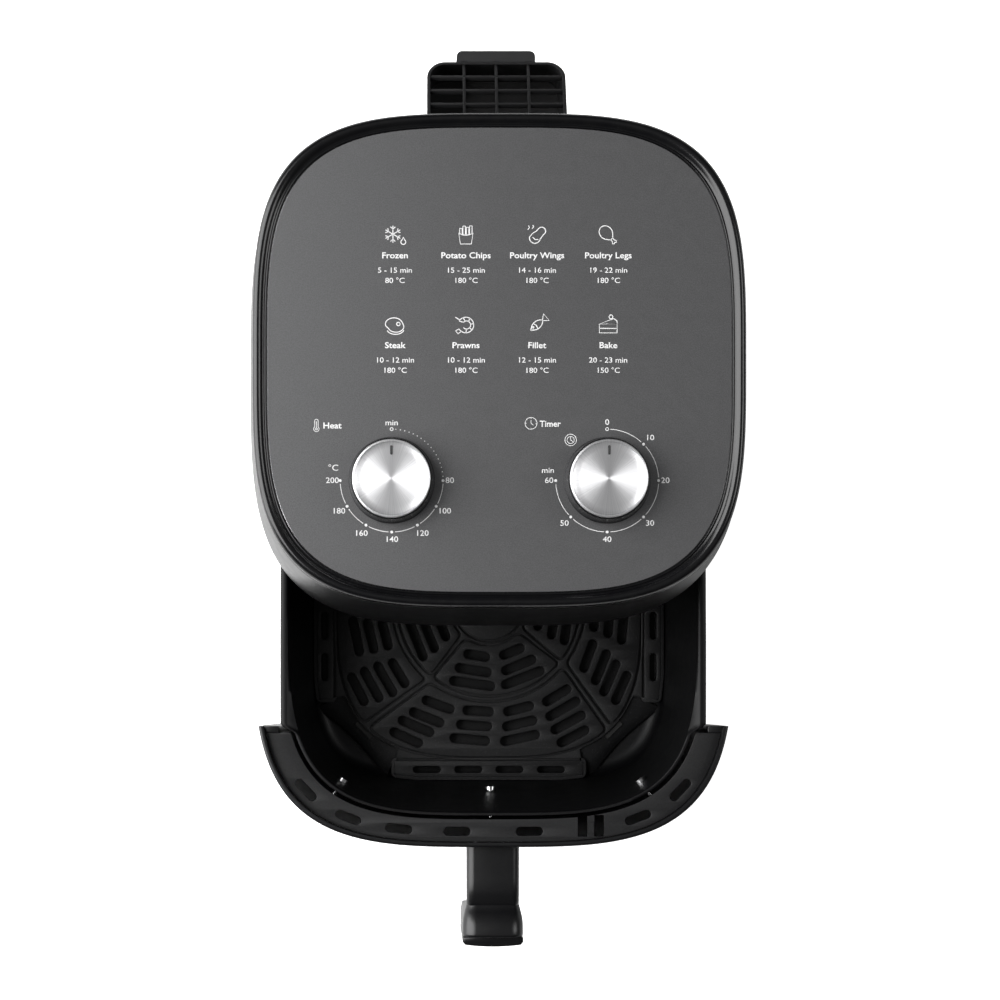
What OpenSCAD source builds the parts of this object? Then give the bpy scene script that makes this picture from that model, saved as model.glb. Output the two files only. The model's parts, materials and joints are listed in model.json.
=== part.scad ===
// Basket air fryer with two dials, a pull-out drawer and a lift-out crisper plate.
// Millimetres. +Z is up and the drawer opens towards -Y. The origin is on the standing surface,
// under the middle of the whole outline with the drawer pulled out to its serving position.

/* [Cabinet] */
// Width and depth of the cabinet at its widest level
body_w = 300; // [290:1:310]
// Width and depth of the cabinet where the top frame sits
top_w = 285; // [280:1:289]
// Width and depth of the cabinet at its foot
base_w = 278; // [272:1:284]
// Height of the top of the frame around the control panel
cab_h = 305; // [303:1:312]
// Height at which the cabinet is widest
belly_z = 165; // [150:1:175]
// Wall of the outer shell
wall = 2.5; // [2:0.5:3]
// Squareness of the plan outline: 2 is a circle, higher is squarer
squareness = 3.6; // [3.4:0.1:3.8]

/* [Drawer] */
// How far the drawer is pulled out at rest
drawer_open = 138; // [100:1:160]
// Height of the basket's rim above the table
rim_z = 174; // [172:1:175]
// Depth of the basket inside
basket_depth = 117; // [105:1:120]
// Half width of the basket's mouth
mouth = 128.5; // [126:0.5:129]
// How much each side wall leans in towards the floor
side_lean = 11.5; // [9:0.5:13]
// Where the drawer front's side wings end, behind the middle of the front
wing_end = 74.5; // [73:0.5:80]

/* [Handle] */
// How far the handle stands out from the drawer front
handle_reach = 63; // [58:1:68]
// Width of the grip
grip_w = 38; // [34:1:40]
// Width of the arm that carries the grip
arm_w = 33; // [30:1:34]

/* [Dials] */
// Distance of each dial from the middle line
dial_x = 62; // [58:1:66]
// Distance of the dials in front of the middle
dial_y = 69.5; // [66:0.5:72]
// Diameter of a dial's black skirt
skirt_d = 49.7; // [46:0.1:52]
// Diameter of a dial's metal cap
cap_d = 44.6; // [42:0.1:46]

/* [Rear vent] */
// Width of the vent hood
vent_w = 83; // [78:1:88]
// How far the vent hood reaches behind the middle
vent_reach = 188; // [184:1:189]
// How far the wall spacer reaches behind the middle
spacer_reach = 195; // [194:1:200]

/* [Crisper plate] */
// Width of the plate from flange to flange
plate_w = 230; // [224:1:230]
// Height of the plate's top above the basket floor
plate_lift = 9; // [8:0.5:10]

/* [Hidden] */
$fn = 48;

OUTLINE_STEPS = 96;
FOOT_H = 6;
CAB_BASE = 8;
SHELL_TOP = 292;
OPENING_LOW = 16;
OPENING_HIGH = 180;
GAP = 1.5;
FLOOR_Z = rim_z - basket_depth;
SHEET = 1.2;
LINER_HALF = 139;
LINER_TOP = 186;
LINER_FRONT = -68;
DECK_Z = 224;
PANEL_TOP = cab_h - 1.5;
PANEL_T = 1;
PANEL_HALF = 134;
SHAFT_R = 3;
RUNNING = 0.05;
DIAL_GAP = 0.7;
DIALS = [[-dial_x, -dial_y], [dial_x, -dial_y]];
BASKET_Y = -1.5;
FLOOR_Y = 5;
FLOOR_SQUARENESS = 4.6;
FLOOR_HALF_Y = basket_depth - 1;
RIM_W = 4.5;
PAN_T = 1.5;
FRONT_T = 3;
GRIP_T = 27;
COVER_T = 6;
ORIGIN_SHIFT = (drawer_open + body_w / 2 + handle_reach - spacer_reach) / 2;
LEVER_Y = -137;
INLET_Z = 90;
BASE_SCREWS = [[-60, -127], [60, -127], [-60, 127], [60, 127]];
BULB = [-88, 27];
ELEMENT_RINGS = [70, 84];
TERMINALS = [for (s = [-1, 1]) ELEMENT_RINGS[1] * [cos(16), s * sin(16)]];
BLACK = [0.05, 0.05, 0.055];
STEEL = [0.72, 0.73, 0.74];

// A rounded-square outline: the superellipse of half sizes hx and hy about [0, cy].
function rounded_square(hx, hy, cy = 0, n = squareness, count = OUTLINE_STEPS) =
    [for (i = [0 : count - 1]) let (t = 360 * i / count, c = cos(t), s = sin(t))
        [hx * sign(c) * pow(abs(c), 2 / n), cy + hy * sign(s) * pow(abs(s), 2 / n)]];

// Y of the front of a square superellipse of half size r at x, and its slope angle there.
function front_y(x, r) = -pow(pow(r, squareness) - pow(abs(x), squareness), 1 / squareness);
function front_angle(x, r) = sign(x) * atan(pow(abs(x) / -front_y(x, r), squareness - 1));

// Half width of the cabinet's outside at height z.
function half_at(z) = z > belly_z
    ? body_w / 2 - (body_w - top_w) / 2 * pow((z - belly_z) / (SHELL_TOP - belly_z), 2)
    : body_w / 2 - (body_w - base_w) / 2 * pow((belly_z - z) / (belly_z - CAB_BASE), 2);

// Inside of the basket at height z: half width, half length and middle.
function rise(z) = (z - FLOOR_Z) / basket_depth;
function pan_hx(z) = mouth - side_lean * (1 - rise(z));
function pan_hy(z) = FLOOR_HALF_Y + (mouth - FLOOR_HALF_Y) * rise(z);
function pan_cy(z) = FLOOR_Y + (BASKET_Y - FLOOR_Y) * rise(z);

// Squareness of the basket at height z: its floor is squarer than its mouth.
function pan_n(z) = FLOOR_SQUARENESS + (squareness - FLOOR_SQUARENESS) * min(1, max(0, rise(z)));

// A solid through level rings, each [z, half width, half length, middle, squareness].
module loft(rings) {
    n = OUTLINE_STEPS;
    last = len(rings) - 1;
    points = [for (r = rings) for (p = rounded_square(r[1], r[2], r[3], r[4])) [p[0], p[1], r[0]]];
    sides = [for (k = [0 : last - 1]) for (i = [0 : n - 1])
        let (j = (i + 1) % n, a = k * n + i, b = a + n, c = (k + 1) * n + j, d = k * n + j)
        each [[a, b, c], [a, c, d]]];
    low = [for (i = [0 : n - 1]) i];
    high = [for (i = [n - 1 : -1 : 0]) last * n + i];
    polyhedron(points, concat([low], sides, [high]));
}

module cabinet(z0, z1, inset = 0, steps = 7) {
    loft([for (i = [0 : steps]) let (z = z0 + (z1 - z0) * i / steps, h = half_at(z) - inset)
        [z, h, h, 0, squareness]]);
}

module plate_of(half, z0, z1) {
    translate([0, 0, z0]) linear_extrude(z1 - z0) polygon(rounded_square(half, half));
}

module box(low, high) {
    translate(low) cube(high - low);
}

module rod(from, to, r, sides = 24) {
    d = to - from;
    translate(from) rotate([0, acos(d[2] / norm(d)), atan2(d[1], d[0])])
        cylinder(h = norm(d), r = r, $fn = sides);
}

module wire(route, r = 1.4) {
    for (i = [0 : len(route) - 2]) let (d = route[i + 1] - route[i], lap = r * 0.5 / norm(d))
        rod(route[i] - d * (i == 0 ? 0 : lap), route[i + 1] + d * lap, r, 8);
}

module pill(length, width) {
    square([length - width, width], center = true);
    for (s = [-1, 1]) translate([s * (length - width) / 2, 0]) circle(d = width);
}

module screw(head_r, head_h, shank_r, length) {
    difference() {
        cylinder(h = head_h, r = head_r);
        for (a = [0, 90]) rotate(a) translate([0, 0, head_h]) cube([head_r * 1.1, 0.9, 1.6], center = true);
    }
    translate([0, 0, -length]) cylinder(h = length, r = shank_r);
}

module at_dial(i) {
    translate([DIALS[i][0], DIALS[i][1], 0]) children();
}

module pulled() {
    translate([0, -drawer_open, 0]) children();
}

// ---- cabinet ----

module outer_shell() {
    color(BLACK) difference() {
        cabinet(CAB_BASE, SHELL_TOP, 0, 8);
        cabinet(CAB_BASE - 3, SHELL_TOP + 3, wall, 8);
        box([-200, -200, OPENING_LOW], [200, GAP - wing_end, OPENING_HIGH]);
        box([-34, 100, 194], [34, 200, 214]);
        box([-34, 100, 222], [34, 200, 250]);
        translate([0, 100, INLET_Z]) rotate([-90, 0, 0]) cylinder(h = 100, r = 8);
    }
    color(BLACK) difference() {
        intersection() {
            for (p = BASE_SCREWS) translate([p[0], p[1], FOOT_H + 3.1])
                cylinder(h = OPENING_LOW - FOOT_H - 3.1, r = 8.5);
            cabinet(CAB_BASE, 40, 1, 2);
        }
        for (p = BASE_SCREWS) translate([p[0], p[1], 0]) cylinder(h = 40, r = 2.1);
    }
}

module top_bezel() {
    h = top_w / 2;
    color(BLACK) difference() {
        loft([for (r = [[SHELL_TOP - 4, wall + 0.2], [SHELL_TOP, wall + 0.2], [SHELL_TOP + 0.2, 0],
            [cab_h - 5, 0], [cab_h - 2, 0.8], [cab_h - 0.6, 2.4], [cab_h, 4.4]])
            [r[0], h - r[1], h - r[1], 0, squareness]]);
        plate_of(PANEL_HALF + 0.2, PANEL_TOP - PANEL_T - 0.2, cab_h + 1);
        plate_of(PANEL_HALF - 3, SHELL_TOP - 5, cab_h);
    }
}

module control_panel() {
    color([0.34, 0.34, 0.35]) difference() {
        plate_of(PANEL_HALF, PANEL_TOP - PANEL_T, PANEL_TOP);
        for (i = [0, 1]) at_dial(i) cylinder(h = 400, r = 5);
    }
}

module panel_carrier() {
    color([0.12, 0.12, 0.13]) difference() {
        union() {
            plate_of(PANEL_HALF - 3.2, PANEL_TOP - PANEL_T - 4, PANEL_TOP - PANEL_T - 0.2);
            for (x = [-105, 105], y = [-105, 105]) translate([x * 0.9, y * 0.9, 268])
                cylinder(h = 32, r = 5);
        }
        for (i = [0, 1]) at_dial(i) cylinder(h = 400, r = 5);
        for (x = [-105, 105], y = [-105, 105]) translate([x * 0.9, y * 0.9, 260])
            cylinder(h = 30, r = 1.6);
    }
}

module base_tray() {
    h = base_w / 2 - wall - 0.3;
    color([0.09, 0.09, 0.1]) difference() {
        union() {
            plate_of(h, FOOT_H, FOOT_H + 3);
            for (x = [-100, 100], y = [-95, 95]) translate([x, y, FOOT_H]) cylinder(h = 9, r = 16);
        }
        for (x = [-100, 100], y = [-95, 95]) translate([x, y, 0]) cylinder(h = FOOT_H + 4, r = 13.05);
        for (i = [-4 : 4]) translate([i * 14, 0, 0]) linear_extrude(20) rotate(90) pill(60, 5);
        for (p = BASE_SCREWS) translate([p[0], p[1], 0]) cylinder(h = 20, r = 2.1);
    }
}

module rubber_feet() {
    color([0.03, 0.03, 0.03]) for (x = [-100, 100], y = [-95, 95]) translate([x, y, 0]) {
        cylinder(h = FOOT_H + 3.5, r = 13);
    }
}

module base_screws() {
    color(STEEL) for (p = BASE_SCREWS) translate([p[0], p[1], FOOT_H]) mirror([0, 0, 1])
        screw(4, 2, 2, 9);
}

// ---- rear ----

VENT_R = 11;
VENT_LOW = 188;
VENT_BACK_Z = 234;
VENT_TOP_Z = 262;
VENT_PITCH_Y = 8.2;
VENT_PITCH_X = 19.3;
SLOPE = atan2(VENT_TOP_Z - VENT_BACK_Z, vent_reach - 146);

module vent_plan(inset) {
    r = VENT_R - inset;
    x = vent_w / 2 - VENT_R;
    y = vent_reach - VENT_R;
    translate([-x - r, 100]) square([2 * (x + r), y - 100]);
    translate([-x, y]) square([2 * x, r]);
    for (s = [-1, 1]) translate([s * x, y]) circle(r = r);
}

module rear_vent_hood() {
    color([0.06, 0.06, 0.065]) difference() {
        translate([0, 0, VENT_LOW]) linear_extrude(VENT_TOP_Z - VENT_LOW) vent_plan(0);
        translate([0, 0, VENT_LOW + 2]) linear_extrude(VENT_TOP_Z - VENT_LOW) vent_plan(2);
        translate([0, vent_reach, VENT_BACK_Z]) rotate([-SLOPE, 0, 0])
            box([-100, -150, 0], [100, 10, 80]);
        cabinet(VENT_LOW - 10, VENT_TOP_Z + 10, -0.1, 6);
    }
    color([0.06, 0.06, 0.065]) difference() {
        intersection() {
            translate([0, 0, VENT_LOW]) linear_extrude(100) vent_plan(1.9);
            translate([0, vent_reach, VENT_BACK_Z]) rotate([-SLOPE, 0, 0])
                box([-100, -90, -5], [100, 10, -1]);
        }
        cabinet(VENT_LOW - 10, VENT_TOP_Z + 10, -0.1, 6);
        for (i = [-2 : 1], j = [1 : 4])
            box([(i + 0.5) * VENT_PITCH_X - 8.2, vent_reach - 2 - j * VENT_PITCH_Y - 0.2, 150],
                [(i + 0.5) * VENT_PITCH_X + 8.2, vent_reach - 2 - j * VENT_PITCH_Y + 5.8, 300]);
    }
}

SPACER_HALF = 23.7;
SPACER_R = 3.4;
SPACER_LOW = 198;
SPACER_HIGH = 232;
module rear_wall_spacer() {
    color([0.05, 0.05, 0.055]) difference() {
        hull() {
            box([-SPACER_HALF, vent_reach + 0.05, SPACER_LOW], [SPACER_HALF, vent_reach + 1, SPACER_HIGH]);
            for (s = [-1, 1]) translate([s * (SPACER_HALF - SPACER_R), spacer_reach - SPACER_R, SPACER_LOW])
                cylinder(h = SPACER_HIGH - SPACER_LOW, r = SPACER_R);
        }
        box([5 - SPACER_HALF, vent_reach - 1, SPACER_LOW + 5],
            [SPACER_HALF - 5, spacer_reach - 2.5, SPACER_HIGH - 5]);
    }
}

module exhaust_duct() {
    color(STEEL) difference() {
        box([-33, 104, 195], [33, 150, 213]);
        box([-32, 100, 196], [32, 160, 212]);
    }
}

module cord_inlet() {
    out = half_at(INLET_Z + 11) + 0.1;
    color(BLACK) difference() {
        union() {
            translate([0, LINER_HALF + 0.3, INLET_Z]) rotate([-90, 0, 0])
                cylinder(h = out + 1 - LINER_HALF, r = 7.9);
            translate([0, out, INLET_Z]) rotate([-90, 0, 0]) cylinder(h = 4, r = 11);
        }
        translate([0, 100, INLET_Z]) rotate([-90, 0, 0]) cylinder(h = 80, r = 4);
    }
}

// ---- cooking bay ----

module bay_liner() {
    h = LINER_HALF;
    color(STEEL) difference() {
        plate_of(h, 30, LINER_TOP);
        plate_of(h - SHEET, 30 + SHEET, LINER_TOP - SHEET);
        box([-200, -200, 20], [200, LINER_FRONT, LINER_TOP - SHEET]);
        box([-200, -200, 20], [200, -136, 300]);
        cylinder(h = 400, r = 100);
        box([58, -140, 180], [70, LEVER_Y + 2.5, 200]);
    }
}

// The moulding that closes the gap between the liner's front edge and the shell.
module bay_frame() {
    low = 30 + SHEET;
    high = LINER_TOP - SHEET - 0.1;
    color([0.1, 0.1, 0.11]) difference() {
        intersection() {
            cabinet(18, high, wall + 0.3, 6);
            box([-200, 3.5 - wing_end, 18], [200, LINER_FRONT - 0.1, high]);
        }
        rotate([90, 0, 0]) linear_extrude(200) polygon([[-127, low], [127, low],
            [mouth + 6.3, rim_z - 2], [mouth + 6.3, high - 3.7],
            [-mouth - 6.3, high - 3.7], [-mouth - 6.3, rim_z - 2]]);
    }
}

module drawer_rails() {
    z = rim_z - 2.3;
    color([0.5, 0.5, 0.52]) intersection() {
        plate_of(LINER_HALF - SHEET - 0.05, z - 7, z);
        for (s = [0, 1]) mirror([s, 0, 0])
            box([mouth + 2.9, LINER_FRONT + 2, z - 10], [LINER_HALF, 62, z + 1]);
    }
}

module heat_reflector() {
    color([0.8, 0.81, 0.82]) difference() {
        rotate_extrude($fn = 96) {
            translate([99, LINER_TOP + 0.1]) square([13, SHEET]);
            translate([98.6, LINER_TOP + 0.1]) square([SHEET, 30]);
            polygon([[97, 215], [99.8, 215], [99.8, 217], [85, 221.2], [9, 221.2], [9, 220], [84.6, 220]]);
        }
        for (p = TERMINALS) translate([p[0], p[1], 0]) cylinder(h = 400, r = 4.5);
        translate([BULB[0], BULB[1], 200]) cylinder(h = 400, r = 2.2);
        box([-32, 60, 196], [32, 130, 212]);
    }
}

ELEMENT_Z = 198;
ELEMENT_R = 3.2;
module heating_element() {
    outer = ELEMENT_RINGS[1];
    inner = ELEMENT_RINGS[0];
    color([0.3, 0.28, 0.26]) translate([0, 0, ELEMENT_Z]) {
        for (arc = [[outer, 12, 156], [outer, 192, 156], [inner, 192, 336]])
            rotate(arc[1]) rotate_extrude(angle = arc[2], $fn = 96)
                translate([arc[0], 0]) circle(r = ELEMENT_R, $fn = 24);
        for (a = [164, 196]) rotate(a) rod([inner, 0, 0], [outer, 0, 0], ELEMENT_R - 0.4);
        for (p = TERMINALS) translate([p[0], p[1], 0])
            cylinder(h = DECK_Z + 10 - ELEMENT_Z, r = ELEMENT_R - 0.6);
    }
}

module element_clips() {
    color(STEEL) for (a = [90, 210, 330]) rotate(a) difference() {
        box([62, -4, ELEMENT_Z], [98.2, 4, ELEMENT_Z + 5]);
        for (r = ELEMENT_RINGS) rotate(-30) translate([0, 0, ELEMENT_Z]) rotate_extrude(angle = 60, $fn = 96)
            translate([r, 0]) circle(r = ELEMENT_R + 0.1, $fn = 24);
    }
}

module element_guard() {
    color(STEEL) {
        for (r = [24, 44, 64, 84]) translate([0, 0, 189]) rotate_extrude($fn = 72)
            translate([r, 0]) circle(r = 1.1, $fn = 16);
        for (a = [0 : 60 : 359]) rotate(a) rod([22, 0, 190.5], [95, 0, 190.5], 1.1);
        for (a = [0 : 120 : 359]) rotate(a) box([92, -6, 188.4], [98.2, 6, 191.5]);
    }
}

// ---- upper works ----

module motor_deck() {
    color([0.6, 0.61, 0.62]) difference() {
        plate_of(half_at(DECK_Z) - wall - 0.6, DECK_Z, DECK_Z + 1.5);
        cylinder(h = 400, r = 12);
        for (p = TERMINALS) translate([p[0], p[1], 0]) cylinder(h = 400, r = 6);
        translate([BULB[0], BULB[1], 0]) cylinder(h = 400, r = 2.2);
    }
}

module motor_frame() {
    color([0.45, 0.46, 0.47]) difference() {
        union() {
            box([-40, -14, DECK_Z + 1.6], [40, 14, DECK_Z + 4]);
            box([-40, -14, DECK_Z + 34], [40, 14, DECK_Z + 36.4]);
            for (s = [0, 1]) mirror([s, 0, 0])
                box([37.6, -14, DECK_Z + 1.6], [40, 14, DECK_Z + 36.4]);
        }
        cylinder(h = 400, r = 6);
    }
}

module motor_stator() {
    color([0.42, 0.42, 0.44]) difference() {
        union() {
            translate([0, 0, DECK_Z + 12]) cylinder(h = 14, r = 30);
            for (a = [45 : 90 : 359]) rotate(a) box([18, -7, DECK_Z + 7], [28, 7, DECK_Z + 31]);
            box([-37.5, -6, DECK_Z + 16], [37.5, 6, DECK_Z + 22]);
        }
        cylinder(h = 400, r = 15.5);
    }
}

module motor_bushes() {
    color([0.72, 0.55, 0.3]) for (z = [DECK_Z + 1.6, DECK_Z + 32]) difference() {
        translate([0, 0, z]) cylinder(h = 4.4, r = 5.95);
        translate([0, 0, z - 1]) cylinder(h = 8, r = SHAFT_R + RUNNING);
    }
}

module thermostat_body() {
    color([0.75, 0.72, 0.62]) at_dial(0) difference() {
        union() {
            box([-18, -15, 268], [18, 15, 292]);
            translate([0, 0, 292]) cylinder(h = 6.4, r = 8);
        }
        translate([0, 0, 274]) cylinder(h = 40, r = SHAFT_R + RUNNING);
    }
}

module thermostat_bulb() {
    color([0.72, 0.45, 0.3]) {
        wire([[-70, -60, 267.5], [-72, -20, 255], [BULB[0], BULB[1], 242], [BULB[0], BULB[1], 216]], 0.9);
        translate([BULB[0], BULB[1], 203]) cylinder(h = 14, r = 1.8);
    }
}

module timer_body() {
    color([0.82, 0.8, 0.74]) at_dial(1) difference() {
        union() {
            box([-25, -22, 262], [25, 22, 292]);
            translate([0, 0, 292]) cylinder(h = 6.4, r = 8);
        }
        translate([0, 0, 274]) cylinder(h = 40, r = SHAFT_R + RUNNING);
    }
}

module timer_bell() {
    color(STEEL) translate([dial_x, -dial_y, 0]) {
        rotate_extrude() polygon([[0, 247], [12, 247.6], [19, 250], [21, 254], [21, 258],
            [20, 258], [20, 254.4], [18.2, 251], [11.6, 248.6], [0, 248]]);
        translate([0, 0, 248]) cylinder(h = 13.9, r = 2.5);
    }
}

module safety_switch() {
    y = LEVER_Y;
    color([0.15, 0.15, 0.16]) difference() {
        box([54, y + 4, LINER_TOP + 0.2], [74, y + 12, LINER_TOP + 12]);
        for (x = [58, 70]) translate([x, 0, LINER_TOP + 6]) rotate([90, 0, 0]) cylinder(h = 200, r = 1.2);
    }
    color(STEEL) for (x = [57, 64, 71])
        box([x - 1.5, y + 7.6, LINER_TOP + 12], [x + 1.5, y + 8.2, LINER_TOP + 18]);
    color([0.15, 0.15, 0.16]) for (x = [54, 71.5]) difference() {
        box([x, y - 3, LINER_TOP + 1], [x + 2.5, y + 4, LINER_TOP + 8]);
        translate([0, y, LINER_TOP + 4]) rotate([0, 90, 0]) cylinder(h = 200, r = 1.2);
    }
}

module thermal_fuse() {
    color([0.86, 0.86, 0.84]) rod([-20, 60, DECK_Z + 4.2], [16, 60, DECK_Z + 4.2], 2.2);
    color(STEEL) for (x = [-14, 8]) box([x, 57, DECK_Z + 1.6], [x + 3, 63, DECK_Z + 2.2]);
}

module terminal_block() {
    color([0.85, 0.84, 0.8]) difference() {
        box([-30, 84, DECK_Z + 1.6], [18, 100, DECK_Z + 16]);
        for (i = [0 : 3]) translate([-24 + i * 12, 92, DECK_Z + 8]) cylinder(h = 20, r = 2.6);
    }
}

module wiring_loom() {
    post = DECK_Z + 11.6;
    color([0.75, 0.12, 0.1]) wire([concat(TERMINALS[0], post), [50, 40, DECK_Z + 22], [-20, 92, DECK_Z + 22],
        [-24, 92, DECK_Z + 17]]);
    color([0.9, 0.9, 0.88]) wire([concat(TERMINALS[1], post), [70, 60, DECK_Z + 24], [10, 92, DECK_Z + 24],
        [0, 92, DECK_Z + 17]]);
    color([0.15, 0.3, 0.65]) wire([[84, -40, 280], [98, 10, 262], [60, 96, 250], [14, 100, DECK_Z + 20],
        [12, 94, DECK_Z + 17]]);
}

module carrier_screws() {
    color(STEEL) for (x = [-94.5, 94.5], y = [-94.5, 94.5]) translate([x, y, 267.8]) mirror([0, 0, 1])
        screw(3.5, 2, 1.5, 12);
}

// ---- rotating group ----

module motor_shaft() {
    color(STEEL) translate([0, 0, 200]) cylinder(h = 78, r = SHAFT_R);
}

module motor_rotor() {
    color([0.5, 0.5, 0.52]) translate([0, 0, DECK_Z + 11]) difference() {
        cylinder(h = 16, r = 15);
        translate([0, 0, -1]) cylinder(h = 20, r = SHAFT_R + 0.02);
    }
}

module blades(count, r0, r1, z0, z1, sweep) {
    for (i = [0 : count - 1]) rotate(i * 360 / count) translate([r0, 0, z0]) rotate(sweep)
        translate([0, -0.6, 0]) cube([r1 - r0, 1.2, z1 - z0]);
}

module hot_air_impeller() {
    color([0.7, 0.71, 0.72]) {
        difference() {
            union() {
                translate([0, 0, 204]) cylinder(h = 9, r = 9);
                translate([0, 0, 213]) cylinder(h = 1.2, r = 72);
                blades(8, 14, 70, 204, 213, 16);
            }
            translate([0, 0, 190]) cylinder(h = 40, r = SHAFT_R + 0.02);
        }
    }
}

module impeller_nut() {
    color(STEEL) difference() {
        translate([0, 0, 200.4]) cylinder(h = 3.5, r = 6, $fn = 6);
        cylinder(h = 300, r = SHAFT_R + 0.02);
    }
}

module cooling_fan() {
    color([0.16, 0.16, 0.17]) difference() {
        union() {
            translate([0, 0, 264]) cylinder(h = 11, r = 10);
            translate([0, 0, 264]) cylinder(h = 1.2, r = 44);
            blades(7, 8, 44, 265, 275, 22);
        }
        translate([0, 0, 200]) cylinder(h = 90, r = SHAFT_R + 0.02);
    }
}

// ---- dials ----

DIAL_Z = PANEL_TOP + DIAL_GAP;
module dial_skirt() {
    r = skirt_d / 2;
    rotate_extrude($fn = 96) polygon([
        [SHAFT_R + 0.02, DIAL_Z + 4], [6, DIAL_Z + 4], [6, DIAL_Z + 1], [r - 2, DIAL_Z + 1],
        [r - 2, DIAL_Z], [r, DIAL_Z], [r, DIAL_Z + 2], [cap_d / 2 + 0.8, DIAL_Z + 12],
        [cap_d / 2 + 0.8, DIAL_Z + 14], [cap_d / 2 + 0.05, DIAL_Z + 14], [cap_d / 2 + 0.05, DIAL_Z + 12],
        [SHAFT_R + 0.02, DIAL_Z + 12]]);
}

module dial_cap() {
    r = cap_d / 2;
    rotate_extrude($fn = 96) polygon([
        [0, DIAL_Z + 12.05], [r, DIAL_Z + 12.05], [r, DIAL_Z + 16.2], [r - 0.6, DIAL_Z + 16.8],
        [r - 1.6, DIAL_Z + 16.8], [r - 2.1, DIAL_Z + 16.2], [0, DIAL_Z + 16.2]]);
}

module dial_pointer() {
    translate([0, cap_d / 2 - 6.2, DIAL_Z + 16.25]) linear_extrude(0.5) rotate(90) pill(5.4, 1.4);
}

module dial_shaft(low) {
    translate([0, 0, low]) cylinder(h = DIAL_Z + 11.9 - low, r = SHAFT_R);
}

// ---- drawer, drawn closed and pulled out when placed ----

module basket() {
    h = mouth + RIM_W;
    round_floor = [[FLOOR_Z, -7], [FLOOR_Z + 1.5, -3.5], [FLOOR_Z + 4, -1.2], [FLOOR_Z + 8, 0],
        [FLOOR_Z + 62, 0], [rim_z, 0]];
    pulled() color([0.07, 0.07, 0.075]) {
        difference() {
            union() {
                loft([for (r = round_floor) let (z = r[0], e = r[1] + PAN_T)
                    [z - (z < FLOOR_Z + 4 ? PAN_T : 0), pan_hx(z) + e, pan_hy(z) + e, pan_cy(z), pan_n(z)]]);
                translate([0, BASKET_Y, rim_z - 2]) linear_extrude(2) polygon(rounded_square(h, h));
            }
            loft([for (r = concat(round_floor, [[rim_z + 3, 0]])) let (z = r[0], e = r[1])
                [z, pan_hx(z) + e, pan_hy(z) + e, pan_cy(z), pan_n(z)]]);
            at_screws() translate([0, 0, -10]) cylinder(h = 20, r = 2.1);
        }
    }
}

// Each screw stands square to the basket's front wall, on a boss of the drawer front.
SCREW_SPOTS = [[-96, 140], [0, 100], [96, 140]];
SCREW_SEAT = 0.95;
SCREW_LENGTH = 18;
BOSS_GAP = 2.8;
function pan_bow(x, z) = pow(1 - pow(abs(x) / pan_hx(z), pan_n(z)), 1 / pan_n(z));
function pan_front(x, z) = pan_cy(z) - pan_hy(z) * pan_bow(x, z);
function pan_turn(x, z) =
    sign(x) * atan(pan_hy(z) / pan_hx(z) * pow(abs(x) / pan_hx(z) / pan_bow(x, z), pan_n(z) - 1));
module at_screws() {
    for (s = SCREW_SPOTS) translate([s[0], pan_front(s[0], s[1]), s[1]])
        rotate([-90, 0, pan_turn(s[0], s[1])]) children();
}

FOOT_LEDGE = 27;
FOOT_LEDGE_T = 2.5;
module drawer_front() {
    top = OPENING_HIGH - GAP;
    low = OPENING_LOW + GAP;
    pulled() color(BLACK) difference() {
        union() {
            difference() {
                cabinet(low, top, 0, 6);
                cabinet(low - 4, top + 4, FRONT_T, 6);
            }
            difference() {
                cabinet(low, low + FOOT_LEDGE_T, 0.5, 1);
                cabinet(low - 1, low + FOOT_LEDGE_T + 1, FOOT_LEDGE, 1);
            }
            intersection() {
                cabinet(low, rim_z - 3.2, 0.5, 6);
                union() for (s = [0, 1]) mirror([s, 0, 0])
                    box([135.5, -wing_end - FRONT_T, low], [160, -wing_end, rim_z - 3.2]);
            }
            intersection() {
                cabinet(low, top, 0.5, 6);
                at_screws() translate([0, 0, -60]) cylinder(h = 60 - BOSS_GAP, r = 5);
            }
        }
        box([-200, -wing_end, 0], [200, 300, 400]);
        at_screws() translate([0, 0, SCREW_SEAT - SCREW_LENGTH - 2]) cylinder(h = SCREW_LENGTH + 2, r = 1.7);
        for (x = [-BOLT_X, BOLT_X]) translate([x, -200, BOLT_Z]) rotate([-90, 0, 0])
            cylinder(h = 100, r = 2.2);
    }
}

FRAME_SLOTS = [-117, -90.5, -59, -22.6, 22.6, 90.5, 117];
FRAME_SLOT_HALF = 140.3;
GUIDE_X = 61;
module drawer_rim_frame() {
    z0 = rim_z - 3;
    pulled() color([0.06, 0.06, 0.065]) difference() {
        intersection() {
            cabinet(z0, rim_z, FRONT_T + 0.1, 1);
            box([-200, -200, 0], [200, -wing_end - 0.5, 400]);
        }
        translate([0, BASKET_Y, z0 - 1]) linear_extrude(10)
            polygon(rounded_square(mouth + RIM_W + 0.1, mouth + RIM_W + 0.1));
        for (x = FRAME_SLOTS) translate([x, front_y(x, FRAME_SLOT_HALF), z0 - 1])
            rotate(front_angle(x, FRAME_SLOT_HALF)) linear_extrude(10) pill(17, 5.5);
        for (s = [-1, 1]) translate([GUIDE_X + s * 5.2, -139, z0 - 1])
            linear_extrude(10) rotate(90) pill(10.5, 6);
    }
}

module switch_tongue() {
    pulled() color(BLACK) box([GUIDE_X - 1.5, -141, rim_z + 0.05], [GUIDE_X + 1.5, -134.5, rim_z + 3]);
}

module basket_screws() {
    pulled() color(STEEL) at_screws() translate([0, 0, SCREW_SEAT]) screw(4, 2.2, 1.6, SCREW_LENGTH);
}

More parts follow.
